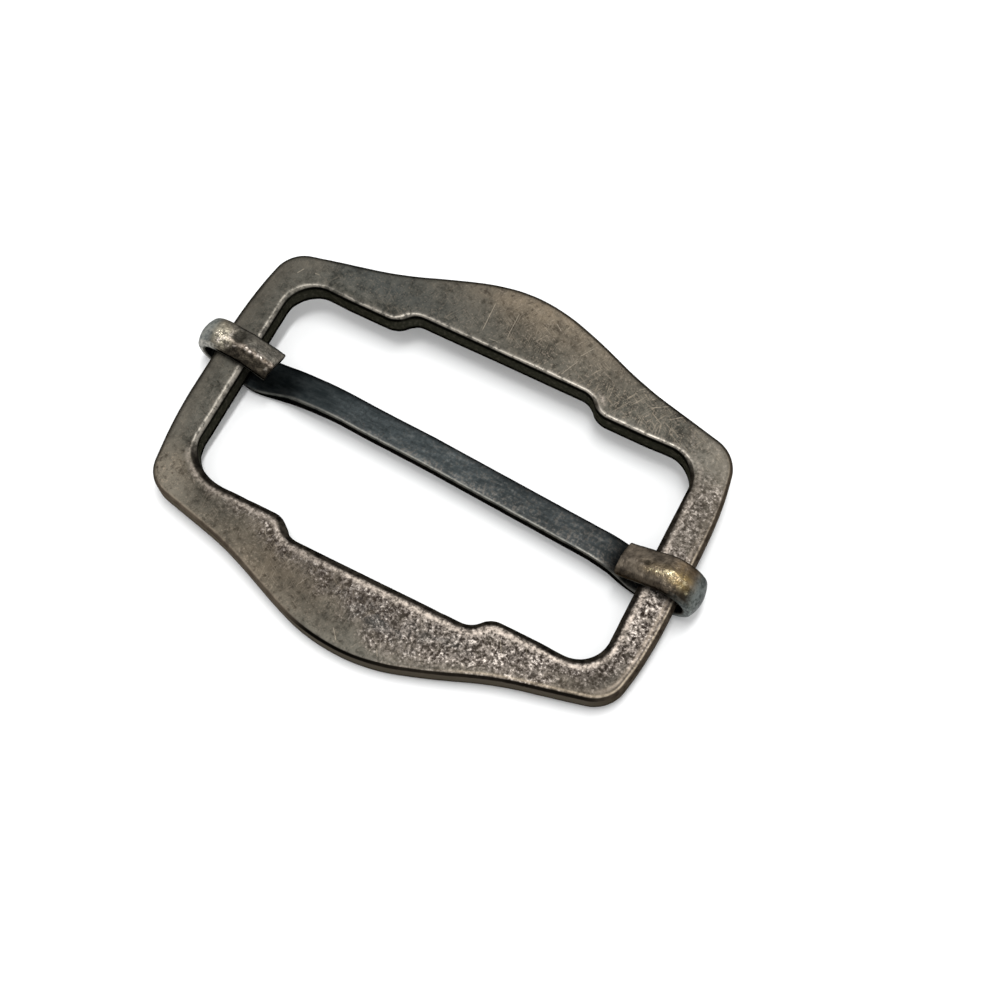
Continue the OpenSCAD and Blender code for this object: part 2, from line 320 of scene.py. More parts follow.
# the left and the far wall of the opening lean in a little towards their foot
lean = 0.13 * ramp(-ni[:, 0], 0.3, 0.8) * (1 - ramp(-ni[:, 1], 0.2, 0.6)) + 0.13 * ramp(ni[:, 1], 0.3, 0.8)
lean = np.minimum(lean, 0.17)
share = np.where(kind == 3, 1.0, np.where(kind == 2, 1 - np.array(turn), 0.0))
share[kind == 4] = np.linspace(0, 1, N_LOW + 2)[1:-1]
F[..., :2] -= (ni * lean[:, None])[:, None] * share[None, :, None]


def grid_faces(n, m, closed):
    i = np.arange(n if closed else n - 1)[:, None]
    j = np.arange(m)[None, :]
    i2, j2 = (i + 1) % n, (j + 1) % m
    return np.stack([i * m + j, i2 * m + j, i2 * m + j2, i * m + j2], -1).reshape(-1, 4)


def normals(V, faces):
    a, b, c, d = (V[faces[:, k]] for k in range(4))
    n = np.cross(c - a, d - b)
    out = np.zeros_like(V)
    for k in range(4):
        np.add.at(out, faces[:, k], n)
    return out / np.maximum(np.linalg.norm(out, axis=1, keepdims=True), 1e-12)


def volume(V, faces):
    tri = np.concatenate([faces[:, [0, 1, 2]], faces[:, [0, 2, 3]]])
    a, b, c = V[tri[:, 0]], V[tri[:, 1]], V[tri[:, 2]]
    return float((a * np.cross(b, c)).sum() / 6)


quads = grid_faces(n_st, F.shape[1], True)
V = F.reshape(-1, 3)
if volume(V, quads) < 0:
    quads = quads[:, ::-1]
N = normals(V, quads)
x, y, z = V.T
K = np.tile(kind, n_st)
Q = np.tile(np.array(turn), n_st)
OUT_N = np.repeat(no, F.shape[1], axis=0)       # which way the nearest outer side faces
FAR, NEAR_IN = np.repeat(far_side, F.shape[1]), np.repeat(near_in, F.shape[1])
DI = np.hypot(*(F[..., :2] - pi[:, None]).reshape(-1, 2).T)     # from the opening's wall and from the outer side, in plan
DO = np.hypot(*(F[..., :2] - po[:, None]).reshape(-1, 2).T)
S = DI / (DI + DO)
# gentle unevenness of a cast and tumbled plate, kept inside the plate
on_face = np.isin(K, (0, 4))
push = 0.020 * rough(V, 6.5, 21, 2) + 0.008 * rough(V, 1.7, 22, 2) + 0.004 * rough(V, 0.7, 23, 2)
dome = 0.03 * (2 * S - 1) ** 2 * np.where(K == 0, 1, 0)      # the face falls a little towards both edges
near_edge = np.isin(K, (1, 7))
dome = np.where(near_edge, 0.03, dome)
# dents and nicks: place, radius, depth
DENTS = [((-9.5, 9.6), 0.5, 0.03), ((14.9, 9.6), 0.3, 0.03), ((6.0, -11.3), 0.3, 0.03), ((-12.6, -9.9), 0.3, 0.03),
         ((17.5, -12.2), 0.35, 0.03), ((20.6, 6.3), 0.25, 0.02), ((20.9, -7.2), 0.25, 0.02), ((12.6, -13.6), 0.3, 0.02)]
for c, r, d in DENTS:
    push = push - d * blob(V[:, :2], c, r) * (V[:, 2] > 3)
V = V + N * push[:, None] * 1.0
V[:, 2] -= dome
N = normals(V, quads)

# ------------------------------------------- where the frame's finish changes
def smooth_box(v, lo, hi, soft):
    return ramp(v, lo - soft, lo + soft) * (1 - ramp(v, hi - soft, hi + soft))


wob = rough(V, 3.0, 41, 3)
wob2 = rough(V, 1.2, 43, 3)
near_part = 1 - ramp(y + 1.5 * wob, -10.5, -7.5)             # the near long rail
right_part = ramp(x + 1.0 * wob, 15.5, 18.0)                  # the right short rail
# the speckle lies along the opening at the left and fills the near rail further right
limit = np.interp(x, [-19, -14, -9, -4, 1, 5, 9], [-0.3, 1.2, 1.9, 2.6, 4.2, 6.0, 99])
reach = ramp(limit - DI + 1.0 * wob2, -1.2, 1.1)
grain = np.clip(near_part * reach + right_part * (1 - 0.75 * ramp(y + 1.5 * wob, 7.5, 10.0)), 0, 1)
calm = near_part * (1 - ramp(DO, 0.5, 1.4)) * (1 - ramp(x, 9, 14))     # smoother along the near rail's outer edge
grain = grain * (1 - 0.65 * calm)
grain = grain * (1 - 0.6 * right_part * near_part * ramp(DI, 1.4, 2.6)) * (1 - 0.30 * right_part * ramp(y, 0, 3))
low_right = ramp(-y + 1.0 * wob, -3.0, 1.5)                   # the right rail is brighter and more worn below its curl
bright = np.clip(right_part * (0.12 + 0.78 * low_right) * (1 - 0.9 * ramp(-y, 6.5, 9.0))
                 * 1.0 + near_part * (1 - 0.6 * blob(V, (19.0, -10.8), np.array([2.8, 2.2]))) * (0.34 * ramp(x, -2, 6) + (0.30 + 0.35 * ramp(x, -6, 12)) * np.exp(-((DI - 0.8) / 0.6) ** 2)), 0, 1)
warm = (0.9 * blob(V, (1.5, 16.2), np.array([8.0, 1.7])) + 0.35 * blob(V, (6, 14.5), np.array([9.0, 3.0])) + 1.0 * blob(V, (-21.0, -11.0), np.array([3.0, 2.4]))
        + 0.75 * blob(V, (-8, -14), np.array([8.0, 3.0])) + 0.5 * blob(V, (19.5, -12.5), np.array([4.0, 1.6])) + 0.35 * grain)
cool = np.clip(0.9 * blob(V, (-13, 12.6), np.array([9.0, 1.8])) + 0.65 * blob(V, (2.0, -14.0), np.array([3.0, 1.2])) + 0.5 * blob(V, (7.5, -13.0), np.array([2.0, 1.0])), 0, 1)
brushed = np.clip(0.9 * blob(V, (4, 14.0), np.array([8.0, 4.0])) + 0.7 * blob(V, (-9, -13), np.array([7.0, 3.0])) + 0.9 * blob(V, (14, 12), np.array([7.0, 2.6])), 0, 1)
short = np.clip(ramp(np.abs(x), 16, 18.5), 0, 1)                          # the two short rails
lift = short * ramp(DI, 1.3, 2.6) * (1 - ramp(x, 0, 1) * low_right)         # a little lighter along their outer sides
LEFT_IN = np.repeat(left_in, F.shape[1])
SHARP = (1 - NEAR_IN) * (1 - 0.85 * LEFT_IN)                   # the inner edges away from the camera are crisp
wall = np.where(np.isin(K, (2, 6)), 1.0, 0.0)
wall = np.where(K == 1, 1 - ramp(Q, 0.26 * SHARP, 0.12 + 0.34 * SHARP), wall)      # walls run into the bevels
wall = np.where(K == 7, 1 - ramp(Q, 0.02, 0.30), wall)
wall = np.where(np.isin(K, (3, 5)), 0.75, wall)
inner = np.where(np.isin(K, (1, 2, 3)), 1.0, 0.0)
side_r, side_n = np.clip(OUT_N[:, 0], 0, 1) ** 2, np.clip(-OUT_N[:, 1], 0, 1)
chamfer = np.where(K == 7, ramp(Q, 0.05, 0.28) * (1 - ramp(Q, 0.80, 0.98)), 0.0) * (1 - 0.6 * FAR * (1 - side_r))
level = np.clip(np.interp(x, [-19.5, -14, -10, -4, 2, 8, 14], [0.55, 0.62, 0.72, 0.62, 0.8, 1.0, 0.95]) - 0.15 * ramp(-x, 17.5, 18.5) * ramp(y, 5, 6.5), 0, 1)
W_IN = np.repeat(w_in, F.shape[1])
# bright inner rims of the far and left rails only, stronger along the rail by level: edge wear with a painted highlight
bevel = np.where(K == 1, 0.40 * LEFT_IN * ramp(Q, 0.0, 0.15) + (1 - 0.40 * LEFT_IN) * ramp(Q, 0.34 - 0.10 * LEFT_IN, 0.60 + 0.05 * LEFT_IN), 0.0) * (1 - NEAR_IN) * level
bevel = np.maximum(bevel, (K == 0) * np.exp(-(np.maximum(DI - W_IN, 0) / 0.16) ** 2) * 0.75 * (1 - NEAR_IN) * level)
# near-black lines at the top and foot of the walls; at the foot and on the underside bevels, which turn down, painted
# shade
seam = np.where(K == 1, (1 - ramp(Q, 0.26 * SHARP, 0.12 + 0.34 * SHARP)) * (1 - 0.4 * LEFT_IN), 0.0) + (K == 3) + np.where(K == 2, np.maximum(ramp(Q, 0.72, 0.95), 1 - ramp(Q, 0.10, 0.26)), 0.0)
seam = seam + np.where(K == 6, 1 - ramp(Q, 0.05, 0.3), 0.0) * 0.6 + np.where(K == 5, 0.5, 0.0) * side_n * ramp(x, -8, -3)
# inner rims of the near and right rails, which face away, darkened: painted shade
dark_in = np.where(K == 1, 1 - 0.65 * ramp(Q, 0.55, 1.0), 0.0) * NEAR_IN
# a bright line just inside the near and right rails' inner edges, broken by speckle: wear with a painted highlight
crest = np.exp(-((DI - 0.76) / 0.20) ** 2) * np.isin(K, (0, 1)) * NEAR_IN * (0.50 + 0.50 * ramp(x, -10, 4)) * (1 - 0.75 * right_part * ramp(y, 0, 3))
shade_in = np.exp(-((DI - 0.44) / 0.12) ** 2) * np.isin(K, (0, 1)) * NEAR_IN * (1 - ramp(x, 5, 9))
dark_out = np.isin(K, (0, 7)) * FAR * (1 - ramp(DO, 0.08, 0.22)) * (1 - side_r)
rubbed = np.clip(0.8 * side_r + 0.95 * side_n * (1 - ramp(x, -6.5, -2.5)), 0, 1)
# the right side's worn lip: a dark groove, a bright ridge, then the dark skirt down to the wall
worn_r = side_r * (0.35 + 0.65 * ramp(-y, -7, -1))
lip = np.isin(K, (0, 7)) * np.clip(worn_r * np.exp(-((DO - 0.31) / 0.075) ** 2) + 0.75 * side_n * (1 - side_r) * ramp(x, 7, 11) * np.exp(-((DO - 0.42) / 0.10) ** 2)
                                   + 0.50 * side_n * (1 - ramp(x, -8, -3)) * np.exp(-((DO - 0.28) / 0.10) ** 2), 0, 1)
groove = np.isin(K, (0, 7)) * worn_r * np.exp(-((DO - 0.47) / 0.06) ** 2)
skirt = np.isin(K, (6, 7)) * side_r * (1 - ramp(DO, 0.16, 0.26)) * (0.55 + 0.45 * ramp(-y, -7, -1))
# lighter and darker places of the plate: middle, reach, amount
PLACES = [((-14.5, 12.0), (4.0, 3.5), 0.32), ((-5.5, 13.5), (4.0, 2.5), -0.05), ((1.5, 16.3), (6.0, 1.3), 0.24), ((14.5, 12.0), (4.0, 2.5), 0.05),
          ((20.5, 10.5), (2.5, 3.0), 0.22), ((-20.6, 6.0), (2.0, 3.5), -0.16), ((-20.6, -4.5), (2.0, 4.0), 0.10), ((-20.0, -11.5), (3.2, 3.0), 0.55),
          ((-12.0, -12.5), (4.0, 3.0), 0.04), ((-5.0, -13.5), (3.0, 3.0), -0.20), ((5.0, -13.5), (4.0, 3.0), 0.12), ((19.5, -11.5), (3.0, 3.2), -0.40)]
tone = 0.5 + 0.5 * sum(k * blob(V, c, np.array(r)) for c, r, k in PLACES)
near_left = (K == 0) * side_n * (1 - ramp(x, -3, 4)) * ramp(x, -21, -16)      # browner along the middle, rubbed at the outer edge
tone = tone + near_left * (0.10 * np.exp(-((DO - 0.55) / 0.40) ** 2) - 0.09 * np.exp(-((DO - 2.0) / 0.75) ** 2))
tone = tone - 0.06 * calm * ramp(x, -3, 1)
band = (K == 0) * worn_r * np.exp(-((DO - 0.72) / 0.15) ** 2) * (0.4 + 0.6 * low_right)


def build(name, V, quads, tris=None, attrs=None):
    me = bpy.data.meshes.new(name)
    faces = [tuple(q) for q in quads.tolist()]
    if tris is not None:
        faces += [tuple(t) for t in tris.tolist()]
    me.from_pydata((V * MM).tolist(), [], faces)
    me.update()
    me.shade_smooth()
    for k, v in (attrs or {}).items():
        at = me.attributes.new(k, "FLOAT", "POINT")
        at.data.foreach_set("value", np.ascontiguousarray(v, np.float32))
    ob = bpy.data.objects.new(name, me)
    bpy.context.scene.collection.objects.link(ob)
    return ob


frame_vis = build("frame_plate", V, quads, attrs={
    "wall": wall, "grain": grain, "bright": bright, "warm": np.clip(warm, 0, 1), "cool": cool, "brushed": brushed,
    "chamfer": chamfer, "bevel": bevel, "dark_in": dark_in, "crest": crest, "dark_out": dark_out, "inner": inner,
    "rubbed": rubbed, "lip": lip, "groove": groove, "skirt": skirt, "band": band, "lift": lift, "tone": tone, "seam": seam, "shade_in": shade_in})

# -------------------------------------------------------------------- bar mesh
BAR_W, CURL_W, STRIP_T, STRIP_E, CURL_REACH = 2.55, 3.05, 1.1, 0.68, 2.0
BAR_DEPTH, BAR_PLACE, BAR_SKEW, TUCK_R, BAR_EDGE = 0.55, 0.72, -3.5, 1.3, 1.08
ENDS = {
    -1: (0.55, 0.30, 9.7, 0.4, 14.5, 2.2, 18, 2.15, 0.25, 0.2, -0.21, -0.27),
    1: (0.25, 1.02, 4.8, -0.4, 5.4, 0, 23, 1.9, -0.1, 0.12, -0.05, -0.2),
}


def end_rows(side):
    gap, rise, start, place, bend, flat, dip, tab, c_less, t_less, aside, t_aside = ENDS[side]
    drop = PLATE + gap - BAR_DEPTH
    x0, x1, xt = HALF - start, HALF - place, HALF - tab
    turn = 2 * math.degrees(math.atan(drop / (x1 - x0)))
    r2 = (x1 - x0) / sind(turn) - bend
    cr = (PLATE + gap + rise) / 2
    cx = SIDE_X + CURL_REACH - STRIP_T - cr
    cw, tw = CURL_W - c_less, CURL_W - t_less
    if flat > 0:
        tail = [(cr, 180, 0, cw, STRIP_E, aside), (0, 0, flat, cw, STRIP_E, aside), (TUCK_R, dip, 0, cw, STRIP_E, aside),
                (0, 0, (cx - xt - flat - TUCK_R * sind(dip)) / cosd(dip), tw, STRIP_E, t_aside)]
    else:
        tail = [(cr, 180 + dip, 0, cw, STRIP_E, aside), (0, 0, (cx - xt - cr * sind(dip)) / cosd(dip), tw, STRIP_E, t_aside)]
    return [(0, 0, x0, BAR_W, BAR_EDGE, 0), (bend, -turn, 0, BAR_W + 0.6 * (cw - BAR_W), BAR_EDGE, aside / 2),
            (r2, turn, 0, cw, STRIP_E, aside), (0, 0, cx - x1, cw, STRIP_E, aside)] + tail


def stations(side):
    p, now = (0.0, 0.0, 0.0), (BAR_W, BAR_EDGE, 0.0)
    out, way = [], 0.0
    for r in end_rows(side):
        n = max(2, int(math.ceil(r[2] / 0.15))) if r[0] == 0 else max(2, int(math.ceil(abs(r[1]) / (2.6 if r[0] < 4 else 1.0))))
        length = run(r)
        for k in range(n):
            f = k / n
            q = walk(p, (0, 0, r[2] * f) if r[0] == 0 else (r[0], r[1] * f, 0))
            out.append((*q, *[now[j] + f * (r[3 + j] - now[j]) for j in range(3)], way + f * length))
        p, now, way = walk(p, r), r[3:6], way + length
    out.append((*p, *now, way))
    return np.array(out)


def softened(a, s, reach):
    """A running mean of a over the distance `reach` along s."""
    out = np.empty_like(a)
    for i in range(len(a)):
        w = np.exp(-((s - s[i]) / reach) ** 2)
        w *= np.gradient(s)
        out[i] = (a * w).sum() / w.sum()
    return out


R, L = stations(1), stations(-1)
line = np.concatenate([
    np.c_[-L[:0:-1, 0], L[:0:-1, 1], -L[:0:-1, 2], L[:0:-1, 3:6], -L[:0:-1, 6]],
    R])
sx_, sz_, sh_, sw_, se_, sa_, ss_ = line.T
sw_, se_, sa_ = softened(sw_, ss_, 0.8), softened(se_, ss_, 0.8), softened(sa_, ss_, 0.8)
left_len, right_len = -ss_[0], ss_[-1]

N_FLAT, N_CORNER, N_SIDE, N_ROUND, N_CROWN = 16, 4, 3, 4, 26


def section(w, edge, facet, ridge, bent):
    """The strip's section: (across, up from the flat face, part). facet 0 is an even crown, 1 two flats that meet at ridge."""
    h = w / 2
    thick = STRIP_T + 0.27 * (1 - bent)
    edge = edge + 0.27 * (1 - bent)
    top_r, low_r = 0.09 + 0.04 * bent, 0.04 + 0.16 * bent         # crisper edges along the straight bar
    rise = thick - edge
    rad = (h * h + rise * rise) / (2 * rise)

    def crown(u):
        even = -thick + rad - math.sqrt(max(rad * rad - u * u, 0))
        ur = ridge * h
        top = thick - (rad - math.sqrt(rad * rad - ur * ur)) - 0.02
        flat = -(edge + (top - edge) * ((h - u) / (h - ur) if u > ur else (h + u) / (h + ur)))
        near = math.exp(-((u - ur) / 0.22) ** 2) * 0.045      # the ridge is rounded off
        return even + facet * (flat + near - even)

    pts = []
    for t in np.linspace(0, 1, N_FLAT + 1):
        pts.append((h - top_r - t * (2 * h - 2 * top_r), 0.0, 0))
    for t in np.linspace(0, 1, N_CORNER + 1)[1:]:
        a = math.radians(90 + 90 * t)
        pts.append((-h + top_r + top_r * math.cos(a), -top_r + top_r * math.sin(a), 1))
    zl = -(edge - low_r)
    for t in np.linspace(0, 1, N_SIDE + 1)[1:]:
        pts.append((-h, -top_r + t * (zl + top_r), 2))
    ul = -h + low_r
    a0, a1, a2 = (-h, zl), (-h, crown(-h)), (ul, crown(ul))
    for t in np.linspace(0, 1, N_ROUND + 1)[1:]:
        pts.append(tuple((1 - t) ** 2 * a0[k] + 2 * t * (1 - t) * a1[k] + t * t * a2[k] for k in (0, 1)) + (3,))
    for t in np.linspace(0, 1, N_CROWN + 1)[1:]:
        u = ul + t * (-2 * ul)
        pts.append((u, crown(u), 4))
    b0, b1, b2 = (-ul, crown(-ul)), (h, crown(h)), (h, zl)
    for t in np.linspace(0, 1, N_ROUND + 1)[1:]:
        pts.append(tuple((1 - t) ** 2 * b0[k] + 2 * t * (1 - t) * b1[k] + t * t * b2[k] for k in (0, 1)) + (3,))
    for t in np.linspace(0, 1, N_SIDE + 1)[1:]:
        pts.append((h, zl + t * (-top_r - zl), 2))
    for t in np.linspace(0, 1, N_CORNER + 1)[1:-1]:
        a = math.radians(90 * t)
        pts.append((h - top_r + top_r * math.cos(a), -top_r + top_r * math.sin(a), 1))
    return np.array(pts)


def ring(q, facet, ridge, bent, inset=0.0, ahead=0.0):
    x0, z0, h, w, e, a = q
    s = section(w, e, facet, ridge, bent)
    u, v = s[:, 0], s[:, 1]
    if inset:
        vc = -e / 2 - 0.1
        u = u * (1 - 2 * inset / w)
        v = vc + (v - vc) * (1 - 2 * inset / (STRIP_T * 0.9))
    return np.c_[x0 + ahead * cosd(h) - v * sind(h), u + a, z0 + ahead * sind(h) + v * cosd(h)], s[:, 2], u, v


rings, tags, us, vs, along = [], [], [], [], []


def add_ring(q, s, facet, ridge, inset=0.0, ahead=0.0):
    r, t, u, v = ring(q, facet, ridge, float(ramp(abs(s), 14.5, 18.0)), inset, ahead)
    rings.append(r); tags.append(t); us.append(u); vs.append(v); along.append(np.full(len(r), s))


END_R = 0.11


def facet_of(s):
    """How flat-sided the crown is: only where the strip was hammered round the rails."""
    f = 0.85 * ramp(s, 23.5, 27.0) if s > 0 else 0.9 * ramp(-s, 24.5, 27.5)
    return float(f), (-0.10 if s > 0 else -0.16)


# left tab's end: rounded rim, then the strip, then the right tab's end
q0 = (sx_[0], sz_[0], sh_[0], sw_[0], se_[0], sa_[0])
f0 = facet_of(ss_[0])
caps_l = [(0.95, 0.0), (0.6, 0.0), (0.32, 0.0), (END_R, 0.0)] + [(END_R * (1 - sind(a)), END_R * (1 - cosd(a))) for a in (25, 50, 72)]
for inset, ahead in caps_l:
    add_ring(q0, ss_[0], *f0, inset=max(inset, 1e-6) if inset < 0.6 else inset * 0.5, ahead=ahead)
for k in range(len(line)):
    if (ss_[k] - ss_[0]) < END_R + 0.02 or (ss_[-1] - ss_[k]) < END_R + 0.02:
        continue
    add_ring((sx_[k], sz_[k], sh_[k], sw_[k], se_[k], sa_[k]), ss_[k], *facet_of(ss_[k]))
q1 = (sx_[-1], sz_[-1], sh_[-1], sw_[-1], se_[-1], sa_[-1])
f1 = facet_of(ss_[-1])
for inset, ahead in caps_l[::-1]:
    add_ring(q1, ss_[-1], *f1, inset=max(inset, 1e-6) if inset < 0.6 else inset * 0.5, ahead=-ahead)

B = np.stack(rings)
n_b, m_b = B.shape[:2]
quads_b = grid_faces(n_b, m_b, False)
VB = B.reshape(-1, 3)
c0, c1 = B[0].mean(0), B[-1].mean(0)
VB = np.concatenate([VB, [c0, c1]])
i0, i1 = n_b * m_b, n_b * m_b + 1
j = np.arange(m_b)
tri_b = np.concatenate([np.stack([np.full(m_b, i0), j, (j + 1) % m_b], -1),
                        np.stack([np.full(m_b, i1), (n_b - 1) * m_b + (j + 1) % m_b, (n_b - 1) * m_b + j], -1)])
T = np.concatenate([np.concatenate(tags), [5, 5]])
U = np.concatenate([np.concatenate(us), [0, 0]])
VV = np.concatenate([np.concatenate(vs), [-0.5, -0.5]])
AL = np.concatenate([np.concatenate(along), [ss_[0], ss_[-1]]])
W = np.concatenate([np.repeat(np.interp([a[0] for a in along], ss_, sw_), m_b), [BAR_W, BAR_W]])

quads_test = np.concatenate([quads_b, np.c_[tri_b, tri_b[:, 2]]])
if volume(VB, quads_test) < 0:
    quads_b, tri_b = quads_b[:, ::-1], tri_b[:, ::-1]
NB = normals(VB, np.concatenate([quads_b, np.c_[tri_b, tri_b[:, 2]]]))

# the left tab's end is cut aslant: its far corner reaches further in
VB[:, 0] += 0.32 * ramp(-AL, left_len - 2.2, left_len - 0.2) * ramp(U, -0.9, 1.3)
NB = normals(VB, np.concatenate([quads_b, np.c_[tri_b, tri_b[:, 2]]]))

# the straight part sags a little towards the near side at the left
VB[:, 1] -= 0.12 * ramp(-VB[:, 0], 1, 8) * (1 - ramp(-VB[:, 0], 12.5, 17))

# and is a little broader on the near side where it dips under the left rail
VB[:, 1] -= 0.50 * np.exp(-((AL + 18.6) / 2.3) ** 2) * ramp(-U, 0.0, 1.2)

# into place: turned by the bar's skew, set below the frame's face
rot = np.array([[cosd(BAR_SKEW), -sind(BAR_SKEW), 0], [sind(BAR_SKEW), cosd(BAR_SKEW), 0], [0, 0, 1]])
VB = VB @ rot.T + [0, BAR_PLACE, TOP - BAR_DEPTH]
NB = NB @ rot.T

curl_r, curl_l = ramp(AL, 21.5, 26.0), ramp(-AL, 20.5, 26.0)
outside = np.isin(T, (3, 4)).astype(float)
push = 0.012 * rough(VB, 2.4, 61, 2) + 0.005 * rough(VB, 0.8, 62, 2)
hammer = (curl_l + curl_r) * outside * (0.030 * rough(VB, 1.1, 63, 2) + 0.022 * rough(VB, 0.45, 65, 2) - 0.025)
push = push + hammer - 0.01
push = push + 0.006 * rough(VB, 0.45, 64, 2) * (1 - curl_l) * (1 - curl_r) * (T == 0)


def dent(c, r, d):
    return -d * blob(VB, c, r)


# the left curl: a pit, nicks along the ridge; the right curl: hammered bumps and a pit at the start of the shine
PITS = [((-20.2, 2.15, 4.9), (0.42, 0.68, 1.0), 0.17), ((-19.3, 1.05, 4.9), (0.25, 0.25, 1.0), 0.07), ((-18.45, 1.0, 4.8), (0.22, 0.22, 1.0), 0.06),
        ((-21.0, 0.75, 4.8), (0.30, 0.30, 1.0), 0.06), ((-17.3, 0.55, 4.5), (0.22, 0.25, 1.0), 0.06), ((-20.6, 0.55, 4.7), (0.2, 0.2, 1.0), 0.05),
        ((18.95, -0.45, 5.7), (0.32, 0.26, 1.0), 0.07), ((20.4, -0.9, 5.7), (0.22, 0.2, 1.0), 0.05), ((22.1, -0.4, 5.4), (0.2, 0.22, 1.0), 0.06),
        ((21.7, -1.1, 5.4), (0.22, 0.2, 1.0), 0.06), ((22.6, -1.0, 5.2), (0.2, 0.2, 1.0), 0.05), ((21.3, -0.1, 5.6), (0.18, 0.2, 1.0), 0.04)]
for c, r, d in PITS:
    push = push + outside * dent(c, np.array(r), d)
VB = VB + NB * push[:, None]
NB = normals(VB, np.concatenate([quads_b, np.c_[tri_b, tri_b[:, 2]]]))

X, Y, Z = VB.T
rim = np.where(np.isin(T, (1,)) & (U < 0), 1.0, 0.0)
upper = outside * (np.abs(AL) > 20) * (Z > 3.2)                  # the curls' visible outside
ridge_u = np.where(AL > 0, -0.10, -0.16) * W / 2
# a lighter line along the curls' ridge: worn nicks with a painted highlight
ridge = np.exp(-((U - ridge_u) / 0.17) ** 2) * outside * (ramp(AL, 24, 27) + ramp(-AL, 25, 28))
straight = 1 - ramp(np.abs(AL), 19, 22)
# where the curls' outside turns away from up, their colour is lightened: painted light
turned = outside * ramp(1 - NB[:, 2], 0.12, 0.75) * ramp(np.abs(X), 20.9, 21.9)
far_line = outside * np.exp(-((W / 2 - U) / 0.17) ** 2) * (0.55 * ramp(AL, 22, 24) + 0.45 * ramp(AL, 25.5, 26.5) + ramp(-AL, 26.8, 28.0))
# a dark band along the near edge of the right tab: painted shade
near_band = np.isin(T, (3, 4)) * (1 - ramp(U + W / 2, 0.32, 0.56)) * ramp(AL, 24.8, 26.5)
bar_tone = 0.5 - 0.04 * ramp(-AL, 2, 7) + 0.10 * np.exp(-((AL - 0) / 5.0) ** 2) - 0.08 * ramp(AL, 3, 9)
orange = np.clip(blob(VB, (21.5, 0.35), np.array([1.1, 0.6])) + 0.7 * blob(VB, (19.3, -0.5), np.array([0.7, 0.35])) + 0.25 * blob(VB, (-22.0, 2.5), np.array([1.0, 0.5])), 0, 1) * outside
# the strip's side walls along the bar, near black: painted shade
low_side = np.where(T == 2, 1.0, 0.0) * (1 - ramp(np.abs(X), 21.3, 22.0))
side_nose = np.where(np.isin(T, (2, 3)), 1.0, 0.0) * (U < 0) * ramp(np.abs(X), 21.3, 22.2)
low_line = straight * (1 - ramp(-AL, 14.5, 16.0)) * np.isin(T, (0, 1)) * 0.85 * np.exp(-((U + W / 2 - 0.09) / 0.07) ** 2) + (np.abs(AL) > 26.5) * (U < 0) * np.isin(T, (1, 2)) * np.exp(-((VV + 0.17) / 0.07) ** 2)
dark_edge = straight * np.isin(T, (0, 1)) * np.exp(-((W / 2 - U) / 0.29) ** 2)
brass = np.clip(outside * (ramp(AL, 23.0, 26.0) + ramp(-AL, 23.5, 27.0)), 0, 1)
# where the curls are rubbed bright, with painted highlights and glints over the rubbing, and their darker facets
gold = np.clip(1.0 * blob(VB, (20.6, -0.72), np.array([1.5, 0.52])) + 0.7 * blob(VB, (19.5, -0.85), np.array([0.7, 0.36])) + 0.55 * blob(VB, (21.9, -0.85), np.array([0.9, 0.55]))
               + 0.95 * blob(VB, (-21.7, 1.4), np.array([0.8, 0.60])) + 0.55 * blob(VB, (-22.0, 2.3), np.array([0.8, 0.6])), 0, 1)
# bright spots on the curls: worn nicks with painted glints
GLINT_SPOTS = [((-21.72, 1.07), 0.20, 1.0), ((-21.37, 1.45), 0.15, 0.85), ((-22.0, 1.6), 0.12, 0.5), ((-19.12, 1.47), 0.15, 1.0), ((-18.77, 1.39), 0.12, 0.85),
         ((-17.98, 1.49), 0.15, 1.0), ((-17.7, 1.40), 0.12, 0.85), ((-17.0, 0.75), 0.10, 0.35), ((-20.77, 1.02), 0.10, 0.5), ((-20.2, 1.25), 0.11, 0.45),
         ((21.11, -0.66), 0.20, 1.0), ((20.75, -0.72), 0.14, 0.9), ((20.45, -0.86), 0.12, 0.8), ((20.0, -0.88), 0.11, 0.7), ((19.5, -0.92), 0.10, 0.6),
         ((22.36, -0.91), 0.12, 0.5), ((21.9, -0.72), 0.11, 0.4), ((22.2, -1.3), 0.10, 0.35), ((22.77, -1.46), 0.10, 0.35), ((21.5, -1.15), 0.11, 0.35)]
spots = np.clip(sum(k * ramp(blob(VB, c, 1.5 * r), 0.25, 0.75) for c, r, k in GLINT_SPOTS) + 0.55 * blob(VB, (-20.98, 2.0), np.array([0.10, 0.50])), 0, 1)
far_facet = outside * ramp(U - ridge_u, 0.05, 0.35)
# the curls' facets on the near side of the ridge, coloured darker: painted shade
near_facet = outside * ramp(ridge_u - U, 0.06, 0.28)
